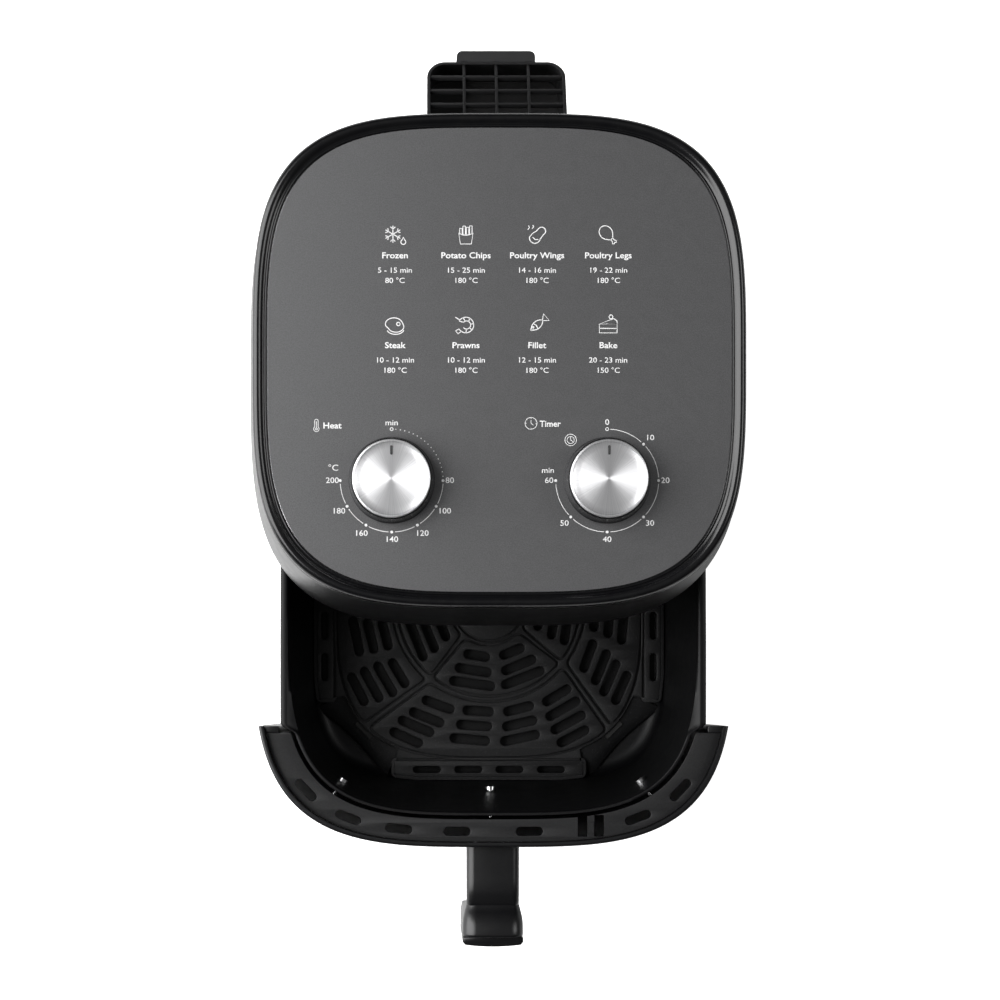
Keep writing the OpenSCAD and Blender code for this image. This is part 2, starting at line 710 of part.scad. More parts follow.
ARM_Z = [150, 168];
BOLT_X = 9;
BOLT_Z = 159;
FACE = -body_w / 2;
GRIP_BACK = FACE - handle_reach + GRIP_T;
module handle_arm() {
    pulled() color(BLACK) difference() {
        box([-arm_w / 2, GRIP_BACK, ARM_Z[0]], [arm_w / 2, FACE + 6, ARM_Z[1]]);
        cabinet(100, 200, -0.1, 4);
        for (x = [-BOLT_X, BOLT_X]) translate([x, FACE - 20, BOLT_Z]) rotate([-90, 0, 0])
            cylinder(h = 40, r = 2.05);
    }
}

module handle_grip() {
    y0 = FACE - handle_reach + COVER_T;
    x = grip_w / 2;
    pulled() color([0.06, 0.06, 0.065]) {
        hull() {
            box([-x, y0, 150], [x, GRIP_BACK - 0.1, 160]);
            box([-x + 3, y0, 160], [x - 3, GRIP_BACK - 2, 172]);
            box([-x + 2, y0 + 1, 60], [x - 2, GRIP_BACK - 5, 64]);
        }
    }
}

module handle_cover() {
    y = FACE - handle_reach;
    x = grip_w / 2;
    pulled() color(BLACK) hull() {
        box([-x + 1, y, 70], [x - 1, y + 1, 160]);
        box([-x, y + COVER_T - 1, 62], [x, y + COVER_T - 0.1, 168]);
    }
}

module handle_bolts() {
    pulled() color(STEEL) for (x = [-BOLT_X, BOLT_X]) translate([x, FACE + FRONT_T + 0.4, BOLT_Z])
        rotate([-90, 0, 0]) screw(4, 2.4, 2, 21);
}

// ---- crisper plate ----

PLATE_Z = FLOOR_Z + plate_lift;
PLATE_T = 2;
PLATE_Y = 4.5;
FLANGE_HALF = 64;
RING_R = [33, 43, 53];
BAND_R = [69, 79, 89, 99];
module plate_outline() {
    h = plate_w / 2;
    f = FLANGE_HALF;
    flange = [[h, -f + 16], [h, f - 16], [h - 1.6, f]];
    polygon([for (a = [0 : 90 : 359]) for (p = concat([[h - 1.6, -f]], flange))
        [p[0] * cos(a) - p[1] * sin(a), p[0] * sin(a) + p[1] * cos(a)]]);
}

module crisper_plate() {
    pulled() translate([0, PLATE_Y, 0]) color([0.08, 0.08, 0.085]) {
        translate([0, 0, PLATE_Z - PLATE_T]) linear_extrude(PLATE_T) difference() {
            plate_outline();
            for (q = [0 : 90 : 359]) rotate(q) {
                for (r = RING_R, s = [-1, 1]) rotate(s * 20) translate([0, r]) pill(r * 0.42, 5);
                for (k = [0 : 3], c = [-31.5, -10.5, 10.5, 31.5])
                    if (k < 3 || abs(c) > 20) rotate(c) translate([0, BAND_R[k]]) pill(20 + k * 2, 5);
                for (x = [-40.5, -13.5, 13.5, 40.5]) translate([x, 109]) pill(17, 4.5);
            }
        }
        for (a = [45 : 90 : 359]) rotate(a) box([112, -9, FLOOR_Z + 0.3], [116, 9, PLATE_Z - PLATE_T]);
    }
}

module plate_bumpers() {
    pulled() translate([0, PLATE_Y, 0]) color([0.1, 0.1, 0.1]) for (a = [45 : 90 : 359]) rotate(a)
        box([116.05, -7, FLOOR_Z + 1], [119, 7, PLATE_Z - PLATE_T - 0.05]);
}

// ---- switch lever ----

module switch_lever() {
    color(STEEL) {
        translate([54.2, LEVER_Y, LINER_TOP + 4]) rotate([0, 90, 0]) cylinder(h = 19.6, r = 1.15);
        box([59, LEVER_Y - 0.4, 178.5], [69, LEVER_Y + 0.4, LINER_TOP + 4]);
    }
}

module in_frame() {
    translate([0, ORIGIN_SHIFT, 0]) children();
}

in_frame() outer_shell();
in_frame() top_bezel();
in_frame() control_panel();
in_frame() panel_carrier();
in_frame() base_tray();
in_frame() rubber_feet();
in_frame() rear_vent_hood();
in_frame() rear_wall_spacer();
in_frame() exhaust_duct();
in_frame() cord_inlet();
in_frame() bay_liner();
in_frame() bay_frame();
in_frame() drawer_rails();
in_frame() heat_reflector();
in_frame() heating_element();
in_frame() element_clips();
in_frame() element_guard();
in_frame() motor_deck();
in_frame() motor_frame();
in_frame() motor_stator();
in_frame() motor_bushes();
in_frame() thermostat_body();
in_frame() thermostat_bulb();
in_frame() timer_body();
in_frame() timer_bell();
in_frame() safety_switch();
in_frame() thermal_fuse();
in_frame() terminal_block();
in_frame() wiring_loom();
in_frame() base_screws();
in_frame() carrier_screws();
in_frame() motor_shaft();
in_frame() motor_rotor();
in_frame() hot_air_impeller();
in_frame() cooling_fan();
in_frame() impeller_nut();
in_frame() at_dial(0) color(BLACK) dial_skirt();  // temperature_skirt
in_frame() at_dial(0) color([0.78, 0.79, 0.8]) dial_cap();  // temperature_cap
in_frame() at_dial(0) color([0.1, 0.1, 0.1]) dial_pointer();  // temperature_pointer
in_frame() at_dial(0) color(STEEL) dial_shaft(275);  // temperature_shaft
in_frame() at_dial(1) color(BLACK) dial_skirt();  // timer_skirt
in_frame() at_dial(1) color([0.78, 0.79, 0.8]) dial_cap();  // timer_cap
in_frame() at_dial(1) color([0.1, 0.1, 0.1]) dial_pointer();  // timer_pointer
in_frame() at_dial(1) color(STEEL) dial_shaft(275);  // timer_shaft
in_frame() switch_lever();
in_frame() basket();
in_frame() drawer_front();
in_frame() drawer_rim_frame();
in_frame() switch_tongue();
in_frame() basket_screws();
in_frame() handle_arm();
in_frame() handle_grip();
in_frame() handle_cover();
in_frame() handle_bolts();
in_frame() crisper_plate();
in_frame() plate_bumpers();
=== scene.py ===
# %% [markdown]
# # A basket air fryer
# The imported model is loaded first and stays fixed. Everything made here is placed from its boxes.
# Sizes are worked out in millimetres, because that is how the maker's drawings read, and one factor
# turns them to Blender's metres when a mesh is made.

# %% Load the frame
import json
import math

import bmesh
import bpy
import numpy as np
from mathutils import Matrix, Vector


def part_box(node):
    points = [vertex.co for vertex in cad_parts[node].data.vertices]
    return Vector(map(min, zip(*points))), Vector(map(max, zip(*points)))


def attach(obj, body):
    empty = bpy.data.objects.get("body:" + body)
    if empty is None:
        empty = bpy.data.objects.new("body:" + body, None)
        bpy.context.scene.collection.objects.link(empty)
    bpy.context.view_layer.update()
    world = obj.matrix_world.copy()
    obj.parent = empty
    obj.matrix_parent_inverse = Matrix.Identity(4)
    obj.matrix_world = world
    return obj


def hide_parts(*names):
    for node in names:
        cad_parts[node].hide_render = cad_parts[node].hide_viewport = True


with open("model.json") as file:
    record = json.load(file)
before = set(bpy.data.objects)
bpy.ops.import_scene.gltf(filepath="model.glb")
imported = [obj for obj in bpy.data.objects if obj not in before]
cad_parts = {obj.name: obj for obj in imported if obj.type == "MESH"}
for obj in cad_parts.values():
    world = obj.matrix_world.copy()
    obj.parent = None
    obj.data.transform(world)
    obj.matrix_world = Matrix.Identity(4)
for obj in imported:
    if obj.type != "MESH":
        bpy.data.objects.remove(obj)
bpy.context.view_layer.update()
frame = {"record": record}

MM = 0.001


def box_mm(node):
    """Lowest and highest corner of a node in millimetres."""
    low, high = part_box(node)
    return np.array(low) / MM, np.array(high) / MM


# %% [markdown]
# ## Driving sizes
# The cabinet is a superellipse in plan: flatter than a circle and rounder than a square. Its half
# width at the top, its middle and its top and foot levels come from the boxes of the nodes; the belly's
# height and the half widths at the belly and the foot are given.

# %% Driving sizes
SQUARE = 3.6
AROUND = 256
shell_low, shell_high = box_mm("outer_shell")
frame_low, frame_high = box_mm("top_bezel")
panel_low, panel_high = box_mm("control_panel")
front_low, front_high = box_mm("drawer_front")
basket_low, basket_high = box_mm("basket")
MID_Y = (frame_low[1] + frame_high[1]) / 2
PULL = shell_low[1] - front_low[1]
BELLY = 165.0
HALF_BELLY = 150.0
HALF_TOP = frame_high[0]
HALF_FOOT = 139.0
SHELL_FOOT, SHELL_TOP = shell_low[2], shell_high[2]
PANEL_TOP = panel_high[2]
PANEL_HALF = panel_high[0]
RIM_Z = basket_high[2]
FLOOR_Z = basket_low[2] + 1.5
DEPTH = RIM_Z - FLOOR_Z
print("cabinet middle at y =", round(MID_Y, 1), "mm, drawer pulled out", round(PULL, 1), "mm")


def half_at(z):
    """Half width of the cabinet's outside at height z."""
    if z > BELLY:
        return HALF_BELLY - (HALF_BELLY - HALF_TOP) * ((z - BELLY) / (SHELL_TOP - BELLY)) ** 2
    return HALF_BELLY - (HALF_BELLY - HALF_FOOT) * ((BELLY - z) / (BELLY - SHELL_FOOT)) ** 2


def squircle(hx, hy, mid=0.0, square=SQUARE, count=AROUND):
    """Points round a superellipse, anticlockwise from +X."""
    t = np.linspace(0, 2 * math.pi, count, endpoint=False)
    c, s = np.cos(t), np.sin(t)
    x = hx * np.sign(c) * np.abs(c) ** (2 / square)
    y = hy * np.sign(s) * np.abs(s) ** (2 / square)
    return np.column_stack([x, y + mid])


def front_y(x, half):
    """How far the outline of that half size reaches towards the front at x."""
    return -(half ** SQUARE - abs(x) ** SQUARE) ** (1 / SQUARE)


def front_slope(x, half):
    """Angle of the outline's front against X at x."""
    return math.copysign(math.atan((abs(x) / -front_y(x, half)) ** (SQUARE - 1)), x)


# %% [markdown]
# ## Mesh helpers
# A moulded wall is a stack of level rings, so one loft function makes most of the object. Flat
# parts with holes are 2D curves: Blender fills them, leaves the holes open and rounds every edge.

# %% Mesh helpers
def make_mesh(name, verts, faces, sharp=35):
    """A mesh object from millimetre points, smooth except where faces meet at more than sharp."""
    mesh = bpy.data.meshes.new(name)
    mesh.from_pydata([tuple(v) for v in np.asarray(verts, float) * MM], [], faces)
    mesh.validate()
    obj = bpy.data.objects.new(name, mesh)
    bpy.context.scene.collection.objects.link(obj)
    shade(obj, sharp)
    return obj


def shade(obj, sharp=35):
    """Smooth shading with sharp edges where faces meet at more than that angle."""
    obj.data.polygons.foreach_set("use_smooth", [True] * len(obj.data.polygons))
    obj.data.set_sharp_from_angle(angle=math.radians(sharp))
    obj.data.update()


def loft(name, rings, closed=False, sharp=35):
    """Skins rings of equal length. closed joins the last ring to the first, otherwise both are capped."""
    n, count = len(rings[0]), len(rings)
    verts = np.vstack(rings)
    faces = []
    for k in range(count if closed else count - 1):
        a, b = k * n, ((k + 1) % count) * n
        faces += [(a + i, a + (i + 1) % n, b + (i + 1) % n, b + i) for i in range(n)]
    if not closed:
        faces += [tuple(range(n - 1, -1, -1)), tuple(range((count - 1) * n, count * n))]
    return make_mesh(name, verts, faces, sharp)


def level(points, z):
    """Plan points set at height z."""
    return np.column_stack([points, np.full(len(points), z)])


def bake(obj, sharp=35):
    """Turns the evaluated object, with its modifiers or its curve settings, into a plain mesh."""
    graph = bpy.context.evaluated_depsgraph_get()
    mesh = bpy.data.meshes.new_from_object(obj.evaluated_get(graph))
    plain = bpy.data.objects.new(obj.name, mesh)
    name = obj.name
    bpy.data.objects.remove(obj)
    bpy.context.scene.collection.objects.link(plain)
    plain.name = name
    shade(plain, sharp)
    return plain


def flat_part(name, outlines, z0, z1, edge=0.3, steps=2):
    """A plate between z0 and z1. The first outline is its edge, the others are holes."""
    curve = bpy.data.curves.new(name, "CURVE")
    curve.dimensions = "2D"
    curve.fill_mode = "BOTH"
    curve.bevel_depth = edge * MM
    curve.bevel_resolution = steps
    curve.extrude = ((z1 - z0) / 2 - edge) * MM
    for k, points in enumerate(outlines):
        spline = curve.splines.new("POLY")
        spline.points.add(len(points) - 1)
        inset = grow(points, -edge if k == 0 else edge)
        flat = np.column_stack([inset * MM, np.zeros(len(points)), np.ones(len(points))])
        spline.points.foreach_set("co", flat.ravel())
        spline.use_cyclic_u = True
    obj = bpy.data.objects.new(name, curve)
    bpy.context.scene.collection.objects.link(obj)
    obj = bake(obj)
    obj.data.transform(shift_matrix(0, 0, (z0 + z1) / 2))
    weld(obj)
    return obj


def grow(points, by):
    """Moves a closed anticlockwise outline outwards by that many millimetres."""
    points = np.asarray(points, float)
    ahead, back = np.roll(points, -1, 0), np.roll(points, 1, 0)
    t = ahead - back
    normal = np.column_stack([t[:, 1], -t[:, 0]])
    normal /= np.linalg.norm(normal, axis=1)[:, None]
    return points + by * normal


def shift_matrix(x, y, z):
    """A move in millimetres."""
    return Matrix.Translation((x * MM, y * MM, z * MM))


def weld(obj, gap=0.0005):
    """Merges points closer than the gap in millimetres and turns every face outwards."""
    bm = bmesh.new()
    bm.from_mesh(obj.data)
    bmesh.ops.remove_doubles(bm, verts=bm.verts, dist=gap * MM)
    bmesh.ops.recalc_face_normals(bm, faces=bm.faces)
    bm.to_mesh(obj.data)
    bm.free()
    shade(obj)
    return obj


def join(name, parts, sharp=35):
    """One object from several meshes."""
    verts, faces, base = [], [], 0
    for part in parts:
        co = np.array([v.co for v in part.data.vertices], float).reshape(-1, 3)
        verts.append(co / MM)
        faces += [tuple(base + i for i in p.vertices) for p in part.data.polygons]
        base += len(co)
        bpy.data.objects.remove(part)
    return make_mesh(name, np.vstack(verts), faces, sharp)


def pill(x, y, length, width, angle=0.0, steps=8):
    """A slot with round ends, anticlockwise."""
    r, half = width / 2, (length - width) / 2
    t = np.linspace(-math.pi / 2, math.pi / 2, steps + 1)
    right = np.column_stack([half + r * np.cos(t), r * np.sin(t)])
    points = np.vstack([right, -right])
    c, s = math.cos(angle), math.sin(angle)
    return points @ np.array([[c, s], [-s, c]]) + [x, y]


# %% [markdown]
# ## Materials
# Each finish starts from what the maker would order: moulded ABS, brushed sheet, spun aluminium.
# Patterns read Object coordinates in metres, so their scale is one over a real size.

# %% Material helpers
def linear(code):
    """An sRGB hex colour as linear red, green, blue and alpha."""
    values = [int(code[i:i + 2], 16) / 255 for i in (1, 3, 5)]
    return [v / 12.92 if v <= 0.04045 else ((v + 0.055) / 1.055) ** 2.4 for v in values] + [1.0]


def add(tree, kind, inputs=None, **settings):
    """Adds a node. inputs maps a socket's name or number to a value or to a socket to link."""
    node = tree.nodes.new(kind)
    for key, value in settings.items():
        setattr(node, key, value)
    for key, value in (inputs or {}).items():
        if isinstance(value, bpy.types.NodeSocket):
            tree.links.new(value, node.inputs[key])
        else:
            node.inputs[key].default_value = value
    return node


def new_material(name, colour, rough, metallic=0.0, **sockets):
    """A principled material. Returns the material, its tree, its shader and Object coordinates."""
    mat = bpy.data.materials.new(name)
    mat.use_nodes = True
    tree = mat.node_tree
    shader = tree.nodes["Principled BSDF"]
    shader.inputs["Base Color"].default_value = linear(colour)
    shader.inputs["Roughness"].default_value = rough
    shader.inputs["Metallic"].default_value = metallic
    for key, value in sockets.items():
        shader.inputs[key.replace("_", " ")].default_value = value
    where = add(tree, "ShaderNodeTexCoord").outputs["Object"]
    return mat, tree, shader, where


def grain(tree, shader, where, size, depth, rough_low, rough_high, detail=4.0, stretch=None):
    """Bump of a grain size in millimetres and roughness that varies with it."""
    if stretch is not None:
        where = add(tree, "ShaderNodeMapping", {"Vector": where, "Scale": stretch}).outputs[0]
    noise = add(tree, "ShaderNodeTexNoise", {"Vector": where, "Scale": 1 / (size * MM), "Detail": detail})
    relief = {"Height": noise.outputs["Fac"], "Distance": depth * MM, "Strength": 1.0}
    bump = add(tree, "ShaderNodeBump", relief)
    tree.links.new(bump.outputs[0], shader.inputs["Normal"])
    large = add(tree, "ShaderNodeTexNoise", {"Vector": where, "Scale": 1 / (size * 12 * MM), "Detail": 3.0})
    limits = {"Value": large.outputs["Fac"], "To Min": rough_low, "To Max": rough_high}
    span = add(tree, "ShaderNodeMapRange", limits)
    tree.links.new(span.outputs[0], shader.inputs["Roughness"])
    return noise


def tint(tree, shader, fac, low, high, start=0.35, end=0.65):
    """Colour that runs from low to high as fac goes from start to end."""
    ramp = add(tree, "ShaderNodeValToRGB", {"Fac": fac})
    ramp.color_ramp.elements[0].position = start
    ramp.color_ramp.elements[0].color = linear(low)
    ramp.color_ramp.elements[1].position = end
    ramp.color_ramp.elements[1].color = linear(high)
    tree.links.new(ramp.outputs[0], shader.inputs["Base Color"])
    return ramp


# %% Kinds of finish
def grained(name, colour, rough, grit, depth, spread, shades, metallic=0.0, detail=4.0, stretch=None,
            **sockets):
    """A finish with an even grain: grit and depth in millimetres, a spread of roughness, two shades."""
    mat, tree, shader, where = new_material(name, colour, rough, metallic, **sockets)
    noise = grain(tree, shader, where, grit, depth, *spread, detail, stretch)
    tint(tree, shader, noise.outputs["Fac"], *shades)
    return mat


def clouded(name, colour, rough, cloud, shades, metallic=0.0, detail=2.0):
    """A finish whose colour drifts in clouds of that many millimetres."""
    mat, tree, shader, where = new_material(name, colour, rough, metallic)
    clouds = add(tree, "ShaderNodeTexNoise", {"Vector": where, "Scale": 1 / (cloud * MM), "Detail": detail})
    tint(tree, shader, clouds.outputs["Fac"], *shades)
    return mat


def flecked(name, colour, rough, grit, depth, spread, fleck, shades, edges, specular):
    """A sprayed coating: orange peel, and mica flecks that many millimetres apart."""
    mat, tree, shader, where = new_material(name, colour, rough, Specular_IOR_Level=specular)
    grain(tree, shader, where, grit, depth, *spread)
    flecks = add(tree, "ShaderNodeTexVoronoi", {"Vector": where, "Scale": 1 / (fleck * MM)})
    tint(tree, shader, flecks.outputs["Distance"], *shades, *edges)
    return mat


# %% [markdown]
# ### Plastics and rubber
# Mouldings copy the surface of their tool. A polished tool gives gloss, a fine one gives satin and a
# spark-eroded one gives a sandy grain. So each plastic is one base colour with its own grain and its
# own spread of roughness, which keeps a black part from looking flat.

# %% Plastics and rubber
# Injection-moulded ABS off a fine tool: near black, a soft broad highlight, a faint orange peel.
satin = grained("satin_abs", "#0a0a0b", 0.3, 0.9, 0.006, (0.26, 0.36), ("#08080a", "#0d0d0e"),
                Specular_IOR_Level=0.4)
# Polished-tool ABS: black with clear reflections that wave a little where the wall shrank.
gloss = grained("gloss_abs", "#09090a", 0.2, 6.0, 0.02, (0.17, 0.25), ("#08080a", "#0c0c0d"), detail=2.0,
                Specular_IOR_Level=0.4)
# Glass-filled polypropylene from a spark-eroded tool: matte, with a sandy grain.
sparked = grained("sparked_pp", "#101011", 0.55, 0.7, 0.03, (0.46, 0.6), ("#0c0c0d", "#161617"),
                  Specular_IOR_Level=0.3)
# Flame-safe polypropylene: matte dark grey, fine even texture.
vent_material = grained("vent_pp", "#151516", 0.5, 0.5, 0.015, (0.42, 0.55), ("#111112", "#1b1b1c"),
                        Specular_IOR_Level=0.4)
# Pressed nitrile rubber: dull, slightly dusty black.
rubber = grained("foot_rubber", "#121212", 0.8, 0.8, 0.03, (0.7, 0.9), ("#0e0e0e", "#1b1b1a"))
# Heat-proof phenolic: cream, faintly mottled.
cream = grained("cream_moulding", "#d6cfba", 0.5, 1.5, 0.01, (0.42, 0.56), ("#c9c1aa", "#dfd9c6"))
# Silicone wire covering: dull red with a skin of talc.
wire_red = grained("silicone_wire", "#8e2a22", 0.6, 2.0, 0.01, (0.5, 0.7), ("#7c211b", "#9c362c"))
print("plastics", [mat.name for mat in (satin, gloss, sparked, vent_material, rubber, cream, wire_red)])

# %% [markdown]
# ### Metals
# A metal's look comes from how it was worked. Blasted sheet scatters light evenly, rolled sheet has
# lines one way and a turned disc has circles. A disc gets anisotropic gloss about its own axis, which
# draws the two bright fans without any painted light.

# %% Metals
# Bead-blasted and dark-lacquered sheet: a metal grey with a very fine sparkle and no direction.
sheet = grained("satin_sheet", "#606061", 0.4, 0.55, 0.004, (0.38, 0.46), ("#5a5a5b", "#676768"), 0.75, 2.0)
# The sheet's edge, cut with a diamond tool after lacquering: bare bright aluminium.
edge_metal = grained("bright_edge", "#bcbcbd", 0.2, 0.4, 0.002, (0.14, 0.24), ("#b4b4b5", "#c6c6c7"), 1.0)
# Nickel-plated steel screws and wire: bright, with fine drawing marks.
steel = grained("bright_steel", "#c8c8c9", 0.2, 0.5, 0.005, (0.15, 0.28), ("#b9b9ba", "#d6d6d7"), 1.0)
# Pressed aluminium with its rolling marks.
aluminium = grained("mill_aluminium", "#b9babb", 0.33, 0.8, 0.006, (0.26, 0.42), ("#a8a9aa", "#c6c7c8"),
                    1.0, stretch=(1.0, 8.0, 8.0))
# Pressed bronze powder: dull gold with open pores.
bronze = grained("sintered_bronze", "#9c7a45", 0.5, 0.4, 0.02, (0.42, 0.6), ("#7e6136", "#ab8850"), 0.9)
# Nickel-chrome steel tube that has been hot: brown and blue oxide clouds.
hot_tube = clouded("heat_tube", "#4a423c", 0.45, 18, ("#3a3634", "#63503f"), 0.8, 5.0)
# Drawn copper, a little tarnished.
copper = clouded("copper_tube", "#a8663f", 0.35, 5, ("#8d5233", "#b87449"), 1.0, 4.0)


def zinc_sheet():
    # Hot-dip galvanised sheet: zinc crystals a few millimetres wide, each with its own grey.
    mat, tree, shader, where = new_material("zinc_sheet", "#8f9193", 0.4, 0.9)
    cells = add(tree, "ShaderNodeTexVoronoi", {"Vector": where, "Scale": 1 / (6 * MM)})
    tint(tree, shader, cells.outputs["Color"], "#7c7e80", "#a3a5a7", 0.1, 0.9)
    return mat


def core_steel():
    # Silicon steel stampings stacked 0.5 mm thick: fine level lines, drawn 1 mm apart to show.
    mat, tree, shader, where = new_material("core_steel", "#55565a", 0.45, 0.9)
    waves = {"Vector": where, "Scale": 1 / (6.28 * MM)}
    lines = add(tree, "ShaderNodeTexWave", waves, bands_direction="Z")
    tint(tree, shader, lines.outputs["Fac"], "#3c3d40", "#6b6c70")
    return mat


def spun_aluminium(name, middle):
    # A disc turned on a lathe: circular cuts, so highlights run out from the middle as two fans.
    mat, tree, shader, where = new_material(name, "#f0f0f1", 0.42, 1.0, Anisotropic=0.6,
                                            Anisotropic_Rotation=0.25)
    tangent = add(tree, "ShaderNodeTangent", direction_type="RADIAL", axis="Z")
    tree.links.new(tangent.outputs[0], shader.inputs["Tangent"])
    axis = (middle[0] * MM, middle[1] * MM, 0)
    centred = add(tree, "ShaderNodeVectorMath", {0: where, 1: axis}, operation="SUBTRACT").outputs[0]
    flat = add(tree, "ShaderNodeVectorMath", {0: centred, 1: (1, 1, 0)}, operation="MULTIPLY").outputs[0]
    radius = add(tree, "ShaderNodeVectorMath", {0: flat}, operation="LENGTH").outputs["Value"]
    cuts = add(tree, "ShaderNodeTexNoise", {"W": radius, "Scale": 1 / (0.35 * MM), "Detail": 3.0},
               noise_dimensions="1D")
    bump = add(tree, "ShaderNodeBump", {"Height": cuts.outputs["Fac"], "Distance": 0.004 * MM})
    tree.links.new(bump.outputs[0], shader.inputs["Normal"])
    split = add(tree, "ShaderNodeSeparateXYZ", {0: centred}).outputs
    angle = add(tree, "ShaderNodeMath", {0: split[1], 1: split[0]}, operation="ARCTAN2").outputs[0]
    streak = add(tree, "ShaderNodeTexNoise", {"W": angle, "Scale": 22.0, "Detail": 4.0},
                 noise_dimensions="1D")
    tint(tree, shader, streak.outputs["Fac"], "#e6e6e8", "#f6f6f7", 0.25, 0.75)
    return mat


zinc, stampings = zinc_sheet(), core_steel()
print("metals", [mat.name for mat in (sheet, edge_metal, steel, aluminium, bronze, zinc, stampings)])

# %% [markdown]
# ### Coatings and inks
# The basket is sprayed black with fine mica in it, and the cast plate gets a thicker, greyer coat.
# Cells of a Voronoi pattern make the flecks, because their middles are small round spots. Printed ink
# is thin and slightly uneven, so it only needs soft clouds.

# %% Coatings and inks
# Sprayed PTFE on pressed steel: black, a fine orange peel and tiny mica flecks.
coating = flecked("non_stick", "#060607", 0.42, 0.8, 0.03, (0.38, 0.5), 1.1, ("#222223", "#050506"),
                  (0.04, 0.12), 0.2)
# The same coating on the cast plate: thicker, rougher and greyer, with more flecks.
cast_coating = flecked("cast_coating", "#141415", 0.5, 1.0, 0.05, (0.42, 0.58), 1.0, ("#48484a", "#121213"),
                       (0.05, 0.2), 0.3)
# Screen-printed white ink: thin, matte, a little uneven.
ink = clouded("white_ink", "#dcdcdc", 0.55, 0.8, ("#d2d2d2", "#e4e4e4"))
# Dark paint wiped into the pointer groove.
groove_paint = clouded("groove_paint", "#2a2a2b", 0.5, 0.6, ("#222223", "#343435"))
print("coatings and inks", [mat.name for mat in (coating, cast_coating, ink, groove_paint)])


# %% [markdown]
# ## Building tools for Geometry Nodes
# Ribs, ink lines and scale dots repeat, so node trees make them. A tree gets named inputs for its
# sizes. Its modifier is set through each socket's identifier, then baked to a plain mesh.

# %% Node tree helpers
def new_tree(name, sizes):
    """An empty geometry tree with a geometry input, the named size inputs and a material input."""
    tree = bpy.data.node_groups.new(name, "GeometryNodeTree")
    tree.interface.new_socket("Geometry", in_out="INPUT", socket_type="NodeSocketGeometry")
    for key, kind in sizes.items():
        tree.interface.new_socket(key, in_out="INPUT", socket_type=kind)
    tree.interface.new_socket("Material", in_out="INPUT", socket_type="NodeSocketMaterial")
    tree.interface.new_socket("Geometry", in_out="OUTPUT", socket_type="NodeSocketGeometry")
    start = tree.nodes.new("NodeGroupInput").outputs
    return tree, start


def finish_tree(tree, start, geometry):
    """Ends a tree with Realize Instances and Set Material."""
    solid = add(tree, "GeometryNodeRealizeInstances", {0: geometry}).outputs[0]
    inked = add(tree, "GeometryNodeSetMaterial", {"Geometry": solid, "Material": start["Material"]})
    tree.links.new(inked.outputs[0], tree.nodes.new("NodeGroupOutput").inputs[0])


def grown(name, tree, values, base=None, sharp=35):
    """Runs a tree on an object and returns the result as a plain mesh."""
    obj = base or bpy.data.objects.new(name, bpy.data.meshes.new(name))
    if base is None:
        bpy.context.scene.collection.objects.link(obj)
    modifier = obj.modifiers.new(name, "NODES")
    modifier.node_group = tree
    for item in tree.interface.items_tree:
        if item.in_out == "INPUT" and item.name in values:
            modifier[item.identifier] = values[item.name]
    obj = bake(obj, sharp)
    obj.name = name
    print(name, len(obj.data.polygons), "faces from", tree.name)
    return obj


FLOAT, WHOLE, VECTOR = "NodeSocketFloat", "NodeSocketInt", "NodeSocketVector"


# %% [markdown]
# ## Cabinet shell
# The outer shell is one moulding 2.5 mm thick with the drawer's opening cut out of its front. A loft
# of level rings gives the barrel shape, and Boolean cuts leave clean edges where the opening is.

# %% Cabinet shell
WALL = 2.5
OPENING_LOW, OPENING_HIGH = 16.0, 180.0
OPENING_Y = front_high[1] + PULL + 1.5
WING_END = MID_Y - PULL - front_high[1]
INLET_Z, INLET_R = 90.0, 8
EXHAUST_X = 34
EXHAUST_SLOTS = [(194, 214), (222, 250)]
FAR = 200


def ring(z, inset, mid=MID_Y):
    """The cabinet's outline at height z, moved inwards by inset."""
    half = half_at(z) - inset
    return level(squircle(half, half, mid), z)


def block(low, high, name="block"):
    """A closed box from its lowest corner to its highest."""
    verts = [(x, y, z) for z in (low[2], high[2]) for y in (low[1], high[1]) for x in (low[0], high[0])]
    faces = [(0, 2, 3, 1), (4, 5, 7, 6), (0, 1, 5, 4), (2, 6, 7, 3), (0, 4, 6, 2), (1, 3, 7, 5)]
    return make_mesh(name, verts, faces)


def rod_y(x, z, r, y0, y1, count=32):
    """A closed cylinder along Y."""
    t = np.linspace(0, 2 * math.pi, count, endpoint=False)
    across, down = x + r * np.cos(t), z - r * np.sin(t)
    return loft("rod", [np.column_stack([across, np.full(count, y), down]) for y in (y0, y1)])


def cut(obj, cutters):
    """Takes the cutters out of the object."""
    for cutter in cutters:
        modifier = obj.modifiers.new("cut", "BOOLEAN")
        modifier.operation, modifier.solver, modifier.object = "DIFFERENCE", "EXACT", cutter
    done = bake(obj)
    for cutter in cutters:
        bpy.data.objects.remove(cutter)
    return done


def soften(obj, width, segments=2, angle=50):
    """Rounds the sharp edges of a mesh."""
    modifier = obj.modifiers.new("soften", "BEVEL")
    modifier.width, modifier.segments = width * MM, segments
    modifier.limit_method, modifier.angle_limit = "ANGLE", math.radians(angle)
    modifier.use_clamp_overlap = True
    return bake(obj)


